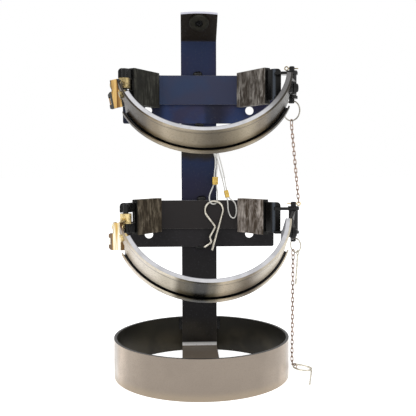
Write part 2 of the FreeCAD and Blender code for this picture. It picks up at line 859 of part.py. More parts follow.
def make_latch_pin(row):
    """The upright pin on the left ear that the eyebolt turns on."""
    pin = rod(at(latch_x, ear_front + latch_pin / 2, row["cradle_z"] - latch_half), Z_AXIS,
              2 * latch_half, latch_pin)
    ends = [edge for edge in pin.Edges if len(edge.Vertexes) == 1]
    return pin.makeChamfer(0.5, ends)


def latch_frame(row):
    """The eye's centre, the shank's way, the lever pin's place and way, and the way the lever faces."""
    out = math.radians(row["shank_out"])
    down = math.radians(row["shank_down"])
    eye = at(latch_x, ear_front + latch_pin / 2, row["cradle_z"])
    face_way = V(-math.sin(out), -math.cos(out), 0)
    shank_way = face_way * math.cos(down) - Z_AXIS * math.sin(down)
    across = face_way.cross(Z_AXIS)
    tilt = math.radians(row["lever_tilt"])
    pin_way = across * math.cos(tilt) + Z_AXIS * math.sin(tilt)
    return eye, shank_way, eye + shank_way * row["shank_reach"], pin_way, face_way


def make_eyebolt(row):
    """The eyebolt: a round eye on the latch pin, a shank and a flat end with the lever pin's hole."""
    eye, shank_way, lever_at, pin_way, face_way = latch_frame(row)
    ring = rod(eye - Z_AXIS * (eye_height / 2), Z_AXIS, eye_height, eye_outer)
    stem_length = row["shank_reach"] - eye_outer / 4 - shank_end_outer / 4
    stem = rod(eye + shank_way * (eye_outer / 4), shank_way, stem_length, shank)
    end = rod(lever_at - pin_way * (shank_end_width / 2), pin_way, shank_end_width, shank_end_outer)
    bolt = ring.multiFuse([stem, end])
    bolt = bolt.cut(rod(eye - Z_AXIS * eye_height, Z_AXIS, 2 * eye_height, latch_pin + 2 * running_gap))
    hole = rod(lever_at - pin_way * shank, pin_way, 2 * shank, lever_pin)
    return bolt.cut(hole).removeSplitter()


def make_lever_pin(row):
    """The pin across the eyebolt's end that the lever turns on."""
    eye, shank_way, lever_at, pin_way, face_way = latch_frame(row)
    half = lever_web / 2 + side_gap + lever_pin_head
    pin = rod(lever_at - pin_way * half, pin_way, 2 * half, lever_pin)
    heads = [rod(lever_at + pin_way * (side * (lever_web / 2 + side_gap)), pin_way * side, lever_pin_head,
                 lever_pin + 2.4) for side in (-1, 1)]
    return fuse([pin] + heads)


def make_latch_lever(row):
    """The hanging lever: a web in front, an ear each side for its pin and a splayed wing each side below."""
    eye, shank_way, lever_at, pin_way, face_way = latch_frame(row)
    up = pin_way.cross(face_way).normalize()
    if up.z < 0:
        up = up * -1
    web_middle = lever_at + face_way * (lever_pin + lever_wall)
    half = lever_web / 2 - lever_wall / 2
    corners = [web_middle + pin_way * half, web_middle - pin_way * half]

    def channel(depth, splay, low, tall):
        back = face_way * (-depth * math.cos(splay))
        side = pin_way * (depth * math.sin(splay))
        path = [corners[0] + back + side, corners[0], corners[1], corners[1] + back - side]
        face = fold_face([point + up * low for point in path], up, lever_wall, lever_wall / 2)
        return face.extrude(up * tall)

    ears = channel(lever_depth, 0, lever_above - lever_ears, lever_ears)
    low = lever_above - lever_length
    tall = lever_length - lever_ears
    splay = math.radians(wing_splay)
    wings = channel(wing_depth, splay, low, tall)
    reach = wing_depth * math.cos(splay) + lever_wall
    start = web_middle - pin_way * lever_length
    outline = [
        (lever_wall, 0), (lever_wall, tall), (-reach / 3, tall), (-reach * 0.8, tall - wing_round / 3),
        (-reach, tall - wing_round), (-reach, wing_round), (-reach * 0.8, wing_round / 3), (-reach / 3, 0),
    ]
    keep = prism([start + face_way * ahead + up * (low + rise) for ahead, rise in outline],
                 pin_way * (2 * lever_length))
    slot_middle = start - face_way * (reach * 0.55) + up * (low + tall / 2)
    slot_half = up * ((wing_slot_length - wing_slot_width) / 2)
    across = face_way * (wing_slot_width / 2)
    slot = prism([slot_middle + slot_half + across, slot_middle + slot_half - across,
                  slot_middle - slot_half - across, slot_middle - slot_half + across],
                 pin_way * (2 * lever_length))
    for end in (slot_middle + slot_half, slot_middle - slot_half):
        slot = slot.fuse(rod(end, pin_way, 2 * lever_length, wing_slot_width))
    lever = ears.fuse(wings.common(keep).cut(slot))
    bore = rod(lever_at - pin_way * lever_web, pin_way, 2 * lever_web, lever_pin + 2 * running_gap)
    return lever.cut(bore).removeSplitter()


# Rings, chains, cotters and small wire pieces

def make_split_ring(row):
    """The ring that hangs through the hinge pin's tail."""
    hole, centre, level = ring_frame(row)
    return Part.makeTorus(row["ring_radius"], ring_wire / 2, centre, level.cross(Z_AXIS))


def loop_link(centre, along, across, straight, width, wire):
    """A closed link of eight straight bars with a six-sided section."""
    along = along.normalize()
    across = across - along * across.dot(along)
    across = across.normalize()
    normal = along.cross(across)
    half = (width - wire) / 2
    ring = []
    for end in (1, -1):
        for turn in (0, 60, 120, 180):
            angle = math.radians(turn)
            ring.append((end * (straight / 2 + half * math.sin(angle)), end * half * math.cos(angle)))
    sections = []
    for index, (u, v) in enumerate(ring):
        before = ring[index - 1]
        after = ring[(index + 1) % len(ring)]
        way_in = V(u - before[0], v - before[1], 0).normalize()
        way_out = V(after[0] - u, after[1] - v, 0).normalize()
        miter = V(-way_in.y - way_out.y, way_in.x + way_out.x, 0).normalize()
        stretch = miter.dot(V(-way_in.y, way_in.x, 0))
        section = []
        for step in range(6):
            angle = math.radians(60 * step + 30)
            out = wire / 2 * math.cos(angle) / stretch
            lift = wire / 2 * math.sin(angle)
            place = V(u, v, 0) + miter * out
            section.append(centre + along * place.x + across * place.y + normal * lift)
        sections.append(section)
    faces = []
    for index in range(len(ring)):
        first = sections[index]
        second = sections[(index + 1) % len(ring)]
        for step in range(6):
            ahead = (step + 1) % 6
            corners = [first[step], first[ahead], second[ahead], second[step], first[step]]
            faces.append(Part.Face(Part.makePolygon(corners)))
    solid = Part.Solid(Part.Shell(faces))
    if solid.Volume < 0:
        solid.reverse()
    return solid


def bow_reach(straight, width, wire):
    """From a link's centre to the middle of the wire in its bow."""
    return straight / 2 + (width - wire) / 2 * math.sin(math.radians(60))


def link_pitch():
    """The distance between neighbouring link centres in a chain that hangs almost tight."""
    return 2 * bow_reach(link_straight, link_width, link_wire) - link_wire - link_slack


def chain_links(path, across, turn):
    """Links spaced along a wire path, each turned a quarter from the last."""
    count = max(1, math.ceil(path.Length / link_pitch() - 0.02))
    nodes = path.discretize(Number=count + 1)
    links = []
    for index in range(count):
        along = nodes[index + 1] - nodes[index]
        side = across - along * (across.dot(along) / along.dot(along))
        side.normalize()
        other = along.cross(side).normalize()
        angle = math.radians(turn + link_turn * (index % 2))
        width_way = side * math.cos(angle) + other * math.sin(angle)
        links.append(loop_link((nodes[index] + nodes[index + 1]) * 0.5, along, width_way,
                               link_straight, link_width, link_wire))
    return links


def joiner_below(ring_low, normal, slope):
    """The wide link that joins a ring to a chain, and the point where the chain's first link hangs.

    The slope is the angle of the ring's wire there, which lifts the link a little.
    """
    reach = bow_reach(joiner_straight, joiner_width, joiner_wire)
    tilt = math.radians(slope)
    lift = (ring_wire / math.cos(tilt) + joiner_wire) / 2 + joiner_wire / 2 * math.tan(tilt) + 0.05
    centre = ring_low + Z_AXIS * (lift - reach)
    link = loop_link(centre, Z_AXIS, normal, joiner_straight, joiner_width, joiner_wire)
    bottom = centre - Z_AXIS * reach
    return link, bottom + Z_AXIS * ((joiner_wire + link_slack) / 2)


def make_chain_upper(cotter_centre):
    """The chain from the upper ring down to the lower hinge's cotter."""
    hole, centre, level = ring_frame(upper)
    ring_low = centre - Z_AXIS * upper["ring_radius"]
    joiner, start = joiner_below(ring_low, level.cross(Z_AXIS), 0)
    end = cotter_centre + Z_AXIS * (cotter_eye - cotter_wire / 2 - 0.05 + link_slack / 2)
    path = Part.Wire([Part.LineSegment(start, end).toShape()])
    way = end - start
    last_cross = way.cross(X_AXIS)
    count = max(1, math.ceil(path.Length / link_pitch() - 0.02))
    turn = link_turn * ((count - 1) % 2)
    return Part.makeCompound([joiner] + chain_links(path, last_cross, -turn))


def lower_chain_start():
    """Where the lower ring's joiner hangs, and the ring's level direction."""
    hole, centre, level = ring_frame(lower)
    swing = math.radians(chain_ring_angle)
    radius = lower["ring_radius"]
    return centre - level * (radius * math.sin(swing)) - Z_AXIS * (radius * math.cos(swing)), level


def pull_frame():
    """The pull pin's ring: its centre, the way the leg runs, and the tilt that its joiner gives it."""
    turn = math.radians(pull_leg_turn)
    leg_way = V(-math.sin(turn), -math.cos(turn), 0)
    leg_side = V(math.cos(turn), -math.sin(turn), 0)
    hinge_line = above_floor(pull_ring_x, pull_ring_depth, pull_ring_wire / 2) + leg_side * pull_ring_radius
    return hinge_line, leg_way, leg_side


def tilted(point):
    """A point of the level pull pin, turned about its leg so that the far side of its ring is raised."""
    hinge_line, leg_way, leg_side = pull_frame()
    arm = point - hinge_line
    along = leg_way * arm.dot(leg_way)
    out = arm.dot(leg_side)
    rise = math.radians(pull_ring_tilt)
    return hinge_line + along + leg_side * (out * math.cos(rise)) + Z_AXIS * (arm.z - out * math.sin(rise))


def hook_frame():
    """The joiner ring on the pull pin's ring: its centre and the level way out from the pull pin."""
    hinge_line, leg_way, leg_side = pull_frame()
    centre = hinge_line - leg_side * pull_ring_radius
    turn = math.radians(hook_turn)
    out = leg_side * -math.cos(turn) - leg_way * math.sin(turn)
    on_ring = tilted(centre + out * pull_ring_radius)
    hook_centre = V(on_ring.x, on_ring.y, floor_z + hook_radius + hook_wire / 2 + 0.05) + out * 0.6
    return hook_centre, out


def make_chain_lower():
    """The chain from the lower ring down to the floor and along it to the joiner on the pull pin."""
    ring_low, level = lower_chain_start()
    joiner, start = joiner_below(ring_low, level.cross(Z_AXIS), chain_ring_angle)
    hook_centre, out = hook_frame()
    landing = V(start.x - 0.8, start.y, floor_z + link_width / 2 + 0.05)
    on_hook = hook_centre + out * hook_radius
    back = (on_hook - landing).normalize()
    points = [start, landing, on_hook + back * (hook_wire / 2 + 0.05 - link_slack / 2)]
    path = Part.Wire(rounded_edges(points, [chain_bend]))
    count = max(1, math.ceil(path.Length / link_pitch() - 0.02))
    return Part.makeCompound([joiner] + chain_links(path, X_AXIS, link_turn * ((count - 1) % 2)))


def make_chain_hook():
    """The small joiner ring that ties the chain's last link to the pull pin's ring."""
    hook_centre, out = hook_frame()
    return Part.makeTorus(hook_radius, hook_wire / 2, hook_centre, out.cross(Z_AXIS))


def make_tether_pin():
    """The thin pin that hangs from the lower ring by an eye."""
    hole, centre, level = ring_frame(lower)
    swing = math.radians(tether_ring_angle)
    radius = lower["ring_radius"]
    way_down = level * math.sin(swing) - Z_AXIS * math.cos(swing)
    on_ring = centre + way_down * radius
    eye_centre = on_ring - Z_AXIS * (tether_eye - (ring_wire + tether_eye_wire) / 2 - 0.25)
    eye = Part.makeTorus(tether_eye, tether_eye_wire / 2, eye_centre, level)
    stem = rod(eye_centre - Z_AXIS * tether_eye, V(-tether_slant, 0, -1), tether_length, tether_wire)
    return fuse([eye, stem])


def make_pull_pin():
    """The pull pin on the floor: a coil of one and a half turns that runs on into a straight leg."""
    hinge_line, leg_way, leg_side = pull_frame()
    centre = hinge_line - leg_side * pull_ring_radius
    points = [hinge_line + leg_way * pull_leg]
    step = 30
    corner_radius = pull_ring_radius / math.cos(math.radians(step / 2))
    for index in range(int(pull_coil_turn / step)):
        angle = math.radians((index + 0.5) * step)
        squeeze = 1.0 if index * step < 360 else pull_ring_squeeze
        corner = centre + (leg_side * math.cos(angle) - leg_way * (squeeze * math.sin(angle))) * corner_radius
        points.append(tilted(corner + Z_AXIS * (pull_ring_wire * 1.06 * index * step / 360)))
    return wire_rod(points, pull_ring_wire, pull_ring_radius)


# Lanyards, ferrules, the hitch clip and the anchor screw

def tangent_point(centre, radius, outside, side):
    """Where a line from an outside point touches a circle in the front plane."""
    way = outside - centre
    angle = math.acos(radius / way.Length) * side
    x = way.x * math.cos(angle) - way.z * math.sin(angle)
    z = way.x * math.sin(angle) + way.z * math.cos(angle)
    return centre + V(x, 0, z).normalize() * radius


def make_hitch_clip():
    """The spring clip: a round head, a straight leg and a kinked leg, all one bent wire."""
    head = above_foot(17.6, clip_depth, 169.6)
    tip = above_foot(5.9, clip_depth, 125.2)
    heel = above_foot(14.4, clip_depth, 131.0)
    hollow = above_foot(12.6, clip_depth, 138.2)
    knee = above_foot(19.3, clip_depth, 149.8)
    straight_end = above_foot(14.9, clip_depth, 121.5)
    left = tangent_point(head, clip_head, knee, -1)
    right = tangent_point(head, clip_head, straight_end, 1)
    points = [tip, heel, hollow, knee, left]
    radii = []
    for index in range(1, len(points) - 1):
        run_in = points[index] - points[index - 1]
        run_out = points[index + 1] - points[index]
        half_turn = run_in.getAngle(run_out) / 2
        radii.append(min(clip_bend, 0.45 * min(run_in.Length, run_out.Length) / math.tan(half_turn)))
    edges = rounded_edges(points, radii)
    edges.append(Part.Arc(left, head + Z_AXIS * clip_head, right).toShape())
    edges.append(Part.LineSegment(right, straight_end).toShape())
    return round_sweep(edges, clip_wire)


# Each lanyard is a loop over the anchor screw that comes down to a ferrule, and a loop below it.
# The points are x, depth and height above the underside of the strap's foot.
lanyard_routes = {
    "lanyard_1": [
        (18.0, 8.0, 208.8), (18.5, 7.7, 216.0), (19.7, 6.2, 224.0), (19.5, 3.7, 233.0),
        (16.6, 1.8, 240.5), (14.1, 1.3, 245.5), (14.1, 1.2, 250.4), (20.9, 1.2, 250.4),
        (21.1, 1.5, 243.0), (21.4, 2.6, 236.0), (21.6, 4.8, 227.0), (21.1, 7.1, 217.5),
        (20.4, 8.0, 208.8),
    ],
    "lanyard_1_loop": [
        (17.4, 8.0, 200.4), (15.4, 8.6, 194.8), (12.6, 9.6, 189.4), (11.7, 10.7, 183.6),
        (12.8, 11.4, 179.2), (15.1, 11.1, 177.1), (17.8, 9.3, 176.7), (20.3, 7.1, 177.6),
        (22.0, 6.9, 181.4), (22.2, 7.0, 187.2), (21.5, 7.5, 193.4), (20.5, 8.0, 200.4),
    ],
    "lanyard_2": [
        (30.8, 8.3, 192.6), (29.1, 8.2, 199.8), (27.3, 7.6, 208.2), (24.9, 6.9, 217.5),
        (22.9, 6.2, 226.5), (20.2, 5.2, 235.3), (16.2, 3.5, 241.5), (14.05, 3.1, 246.3),
        (14.05, 3.0, 250.4), (20.9, 3.0, 250.4), (21.4, 3.3, 244.0), (23.0, 4.6, 237.0),
        (25.3, 5.9, 228.0), (27.9, 6.9, 218.5), (29.8, 7.7, 209.5), (31.2, 8.1, 201.0),
        (32.9, 8.3, 192.9),
    ],
    "lanyard_2_loop": [
        (32.9, 8.3, 184.9), (34.1, 8.3, 179.3), (34.2, 8.2, 172.5), (35.3, 8.4, 166.0),
        (37.8, 8.8, 161.0), (41.4, 10.2, 159.6), (43.8, 11.4, 163.4), (44.3, 12.0, 169.8),
        (43.2, 11.5, 176.7), (40.4, 10.0, 181.0), (37.2, 8.9, 182.4), (34.7, 8.3, 185.4),
    ],
}
ferrules = {
    "ferrule_1": {"x": 19.0, "depth": 8.0, "height": 204.6, "width": 7.0, "tall": 9.0, "tilt": 0.0},
    "ferrule_2": {"x": 32.75, "depth": 8.3, "height": 188.9, "width": 5.6, "tall": 8.6, "tilt": 13.0},
}


def make_ferrule(place):
    """A crimped sleeve with rounded edges, as wide as the two strands it grips."""
    sleeve = Part.makeBox(place["width"], ferrule_depth, place["tall"],
                          V(-place["width"] / 2, -ferrule_depth / 2, -place["tall"] / 2))
    upright = [edge for edge in sleeve.Edges if abs(edge.Vertexes[0].Z - edge.Vertexes[1].Z) > 1]
    sleeve = sleeve.makeFillet(ferrule_depth * 0.4, upright)
    sleeve.rotate(V(0, 0, 0), Y_AXIS, -place["tilt"])
    sleeve.translate(above_foot(place["x"], place["depth"], place["height"]))
    return sleeve


def make_anchor_screw():
    """The screw in the strap that both lanyards loop over."""
    seat = above_foot(anchor_x, 0, anchor_height)
    stem = rod(seat, -Y_AXIS, anchor_stand, anchor_shank)
    head = rod(seat - Y_AXIS * anchor_stand, -Y_AXIS, anchor_head_height, anchor_head)
    rim = [edge for edge in head.Edges if len(edge.Vertexes) == 1
           and edge.CenterOfMass.y < seat.y - anchor_stand - anchor_head_height / 2]
    return fuse([stem, head.makeFillet(anchor_head_height * 0.6, rim)])


# Make every piece and write one file for each

parts = {}
strap = make_back_strap()
screw_seat, screw_out = tab_point(bumper_along, 0)
screw_hole = bumper_screw_shank / 2 + bumper_screw_fit
strap = strap.cut(Part.makeCylinder(screw_hole, 4 * sheet, screw_seat + screw_out, screw_out * -1))
parts["back_strap"] = strap
parts["base_ring"] = make_base_ring()
parts["ring_welds"] = make_ring_welds(strap)
parts["top_bumper"] = make_top_bumper()
parts["bumper_screw"] = make_bumper_screw()

for row in rows:
    name = row["name"]
    plate = make_cross_plate(row)
    cradle = make_cradle(row)
    pin = make_latch_pin(row)
    parts["cross_plate_" + name] = plate
    parts["cradle_" + name] = cradle
    parts["sleeve_" + name + "_left"] = make_sleeve(row, -1)
    parts["sleeve_" + name + "_right"] = make_sleeve(row, 1)
    beads = make_weld_beads(strap, row, plate, cradle)
    parts["weld_beads_" + name] = Part.makeCompound(beads.Solids + make_latch_tacks(row, pin, cradle))
    parts["latch_pin_" + name] = pin
    parts["eyebolt_" + name] = make_eyebolt(row)
    parts["lever_pin_" + name] = make_lever_pin(row)
    parts["latch_lever_" + name] = make_latch_lever(row)
    parts["hinge_lugs_" + name] = make_hinge_lugs(row)
    parts["hinge_pin_" + name] = make_hinge_pin(row)
    parts["hinge_washer_" + name] = make_hinge_washer(row)
    cotter, cotter_centre = make_cotter(row)
    parts["cotter_pin_" + name] = cotter
    parts["swivel_" + name] = make_swivel(row)
    blank = make_band_blank(row)
    parts["band_" + name] = hang(drill_band(row, blank), row)
    parts["band_liner_" + name] = hang(make_liner_level(row), row)
    parts["lift_rivet_" + name] = hang(make_lift_rivet_level(row, blank), row)
    parts["lift_washer_" + name] = hang(make_lift_washer_level(row, blank), row)
    parts["keeper_rivet_" + name] = hang(make_keeper_level(row, blank), row)
    parts["split_ring_" + name] = make_split_ring(row)

parts["chain_upper"] = make_chain_upper(cotter_centre)
parts["chain_lower"] = make_chain_lower()
parts["chain_hook"] = make_chain_hook()
parts["tether_pin"] = make_tether_pin()
parts["pull_pin"] = make_pull_pin()
parts["hitch_clip"] = make_hitch_clip()
parts["anchor_screw"] = make_anchor_screw()
for name, place in ferrules.items():
    parts[name] = make_ferrule(place)
for name, route in lanyard_routes.items():
    tube = cord_tube(name, [above_foot(*point) for point in route], lanyard_wire)
    for ferrule in ferrules:
        tube = tube.cut(parts[ferrule])
    parts[name] = tube

for name, shape in parts.items():
    shape.exportStep("parts/" + name + ".step")
    print(name, "solids", len(shape.Solids), "valid", shape.isValid(), "volume %.1f" % shape.Volume)
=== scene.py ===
import bpy
import json
import math
import numpy as np
from bpy.props import FloatProperty, FloatVectorProperty, PointerProperty
from bpy.types import Operator, Panel, PropertyGroup
from mathutils import Matrix, Vector


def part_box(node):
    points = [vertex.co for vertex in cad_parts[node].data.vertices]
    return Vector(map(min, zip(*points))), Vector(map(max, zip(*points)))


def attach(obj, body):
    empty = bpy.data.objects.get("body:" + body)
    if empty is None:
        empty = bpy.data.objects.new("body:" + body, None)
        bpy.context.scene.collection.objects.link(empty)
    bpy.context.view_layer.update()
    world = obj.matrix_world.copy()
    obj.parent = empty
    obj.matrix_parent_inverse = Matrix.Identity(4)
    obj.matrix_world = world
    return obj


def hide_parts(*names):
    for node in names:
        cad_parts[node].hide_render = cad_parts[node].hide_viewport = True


bl_info = {
    "name": "Fire Extinguisher Bracket Finish",
    "version": (1, 0, 0),
    "blender": (4, 5, 0),
    "location": "View3D > Sidebar > Bracket",
    "description": "Dresses the packed bracket: paint, rubber, bands, chains and lanyards",
    "category": "Object",
}

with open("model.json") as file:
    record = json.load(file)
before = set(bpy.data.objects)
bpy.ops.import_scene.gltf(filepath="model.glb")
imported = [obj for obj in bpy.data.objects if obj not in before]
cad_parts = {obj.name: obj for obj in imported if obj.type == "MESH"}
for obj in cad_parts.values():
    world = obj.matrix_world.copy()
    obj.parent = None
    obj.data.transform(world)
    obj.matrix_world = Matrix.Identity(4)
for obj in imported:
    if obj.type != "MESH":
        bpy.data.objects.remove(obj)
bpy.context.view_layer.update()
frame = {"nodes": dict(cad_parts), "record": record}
NODES = frame["nodes"]
MM = 0.001
ROWS = ("upper", "lower")

# Places taken from the frame: the ring, the floor that it stands on and the strap's foot
RING_LOW, RING_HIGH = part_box("base_ring")
RING_CENTRE = (RING_LOW + RING_HIGH) / 2
FLOOR = RING_LOW.z
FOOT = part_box("back_strap")[0].z

# Sizes that the paint follows: the ring's wall, the ears' fold from the middle and the tab's lean
RING_WALL = 3.0 * MM
EAR_FOLD = 82.0 * MM
TAB_ANGLE = math.radians(56.0)
TAB_WAY = (0.0, -math.sin(TAB_ANGLE), math.cos(TAB_ANGLE))
UP = (0.0, 0.0, 1.0)


def above_foot(x, depth, height):
    """A point in metres from x, depth forward of the strap and height above its foot, all in mm."""
    return (x * MM, -depth * MM, FOOT + height * MM)


# Sizes and colours that a user would change


class CameraSettings(PropertyGroup):
    place: FloatVectorProperty(
        name="Camera place", description="Where the camera stands", size=3, subtype="TRANSLATION",
        unit="LENGTH", default=(-0.019471, -0.754557, 0.003567))
    pitch: FloatProperty(
        name="Pitch", description="How far the camera looks down", subtype="ANGLE", unit="ROTATION",
        default=0.061)
    yaw: FloatProperty(
        name="Yaw", description="How far the camera turns to its left", subtype="ANGLE", unit="ROTATION",
        default=-0.040)
    roll: FloatProperty(
        name="Roll", description="How far the camera leans", subtype="ANGLE", unit="ROTATION",
        default=-0.003)
    lens: FloatProperty(
        name="Focal length", description="Focal length on a 36 mm sensor", subtype="DISTANCE_CAMERA",
        default=54.256)


class StageSettings(PropertyGroup):
    soft_light: FloatProperty(
        name="Soft light", description="Strength of the light from all round", default=0.62, min=0.0)
    key_power: FloatProperty(
        name="Key power", description="Power of the big soft lamp above the camera's left", unit="POWER",
        default=11.0, min=0.0)
    fill_power: FloatProperty(
        name="Fill power", description="Power of the soft lamp on the right", unit="POWER",
        default=4.0, min=0.0)
    floor_colour: FloatVectorProperty(
        name="Floor colour", description="Colour of the pale floor", subtype="COLOR", size=3,
        default=(0.93, 0.93, 0.93), min=0.0, max=1.0)
    floor_size: FloatProperty(
        name="Floor size", description="Width of the floor", unit="LENGTH", default=30.0)


class PaintSettings(PropertyGroup):
    upper_blue: FloatVectorProperty(
        name="Upper blue", description="Paint on the strap's upper part", subtype="COLOR", size=3,
        default=(0.012, 0.022, 0.064), min=0.0, max=1.0)
    lower_black: FloatVectorProperty(
        name="Lower black", description="Paint near the strap's foot", subtype="COLOR", size=3,
        default=(0.011, 0.010, 0.011), min=0.0, max=1.0)
    # Painted shade: the top tab's lower face is painted this darker olive brown
    tab_underside_shade: FloatVectorProperty(
        name="Tab olive", description="Paint on the top tab's lower face", subtype="COLOR", size=3,
        default=(0.013, 0.0095, 0.006), min=0.0, max=1.0)
    ear_black: FloatVectorProperty(
        name="Ear black", description="Gloss paint on ears, hinges and pins", subtype="COLOR", size=3,
        default=(0.003, 0.003, 0.003), min=0.0, max=1.0)
    # The ring's outer wall is painted light for the light and reflection on it, and its inner wall painted
    # dark for the shade inside
    ring_outside_lit: FloatVectorProperty(
        name="Ring outside", description="Paint on the base ring's outer wall", subtype="COLOR", size=3,
        default=(0.33, 0.275, 0.225), min=0.0, max=1.0)
    ring_inside_shaded: FloatVectorProperty(
        name="Ring inside", description="Paint on the base ring's inner wall", subtype="COLOR", size=3,
        default=(0.0055, 0.0045, 0.002), min=0.0, max=1.0)


class BandSettings(PropertyGroup):
    # Each of these scales the painted reflections along its band
    upper_light: FloatProperty(
        name="Upper band", description="How light the upper band's coat is", default=1.0, min=0.0, max=2.0)
    lower_light: FloatProperty(
        name="Lower band", description="How light the lower band's coat is", default=1.0, min=0.0, max=2.0)
    liner_grey: FloatVectorProperty(
        name="Liner grey", description="Rubber liner of the bands", subtype="COLOR", size=3,
        default=(0.68, 0.68, 0.71), min=0.0, max=1.0)


class SleeveSettings(PropertyGroup):
    light: FloatProperty(
        name="Sleeve light", description="How light the sleeves' rubber is", default=1.0, min=0.0, max=2.0)


class HardwareSettings(PropertyGroup):
    zinc_yellow: FloatVectorProperty(
        name="Yellow zinc", description="Plating on the latch pieces", subtype="COLOR", size=3,
        default=(0.72, 0.56, 0.27), min=0.0, max=1.0)
    bright_wire: FloatVectorProperty(
        name="Bright wire", description="Bare steel wire pieces", subtype="COLOR", size=3,
        default=(0.66, 0.62, 0.53), min=0.0, max=1.0)
    chain_brown: FloatVectorProperty(
        name="Chain brown", description="Dull steel of the chains", subtype="COLOR", size=3,
        default=(0.42, 0.31, 0.25), min=0.0, max=1.0)
    brass: FloatVectorProperty(
        name="Brass", description="Crimped ferrules", subtype="COLOR", size=3,
        default=(0.62, 0.42, 0.11), min=0.0, max=1.0)


class CordSettings(PropertyGroup):
    diameter: FloatProperty(
        name="Lanyard diameter", description="Coated cable", unit="LENGTH", default=1.6 * MM)
    white: FloatVectorProperty(
        name="Lanyard white", description="Plastic coat", subtype="COLOR", size=3,
        default=(0.80, 0.79, 0.75), min=0.0, max=1.0)


SETTINGS = {
    "bracket_camera": CameraSettings,
    "bracket_stage": StageSettings,
    "bracket_paint": PaintSettings,
    "bracket_band": BandSettings,
    "bracket_sleeve": SleeveSettings,
    "bracket_hardware": HardwareSettings,
    "bracket_cord": CordSettings,
}


# Node graphs for the procedural finishes

# How far a rounded normal turns from the flat one where an edge starts and where it is full
EDGE_TURN = (0.995, 0.86)
EDGE_SAMPLES = 4

# The colour sockets of a mix node
MIX_FIRST = 6
MIX_SECOND = 7
MIX_RESULT = 2

# Noise patterns: the scale, the detail and the roughness of each
PATTERNS = {
    "grime": (220.0, 4.0, 0.55),
    "clouds": (22.0, 3.0, 0.6),
    "grain": (420.0, 2.0, 0.7),
    "rubbing": (160.0, 3.0, 0.55),
    "plate_mottle": (30.0, 2.0, 0.5),
    "strap_mottle": (14.0, 2.0, 0.5),
    "cradle_mottle": (26.0, 2.0, 0.5),
    "gloss_chips": (300.0, 4.0, 0.6),
    "gloss_patches": (60.0, 3.0, 0.55),
    "gloss_grain": (240.0, 3.0, 0.55),
    "ring_clouds": (16.0, 3.0, 0.6),
    "ring_grain": (900.0, 2.0, 0.6),
    "ring_patches": (11.0, 2.0, 0.5),
    "band_drift": (9.0, 2.0, 0.5),
    "drawn_lines": (700.0, 3.0, 0.6),
    "liner_dust": (70.0, 4.0, 0.6),
    "liner_grain": (500.0, 3.0, 0.55),
    "plated_clouds": (260.0, 4.0, 0.6),
    "plated_grain": (780.0, 2.0, 0.55),
    "lever_lines": (420.0, 2.0, 0.6),
    "lever_clouds": (300.0, 4.0, 0.6),
    "sleeve_streaks": (120.0, 4.0, 0.7),
    "sleeve_fibres": (380.0, 3.0, 0.7),
    "sleeve_patches": (48.0, 3.0, 0.6),
    "bumper_patches": (180.0, 3.0, 0.55),
    "bumper_grain": (600.0, 2.0, 0.55),
}


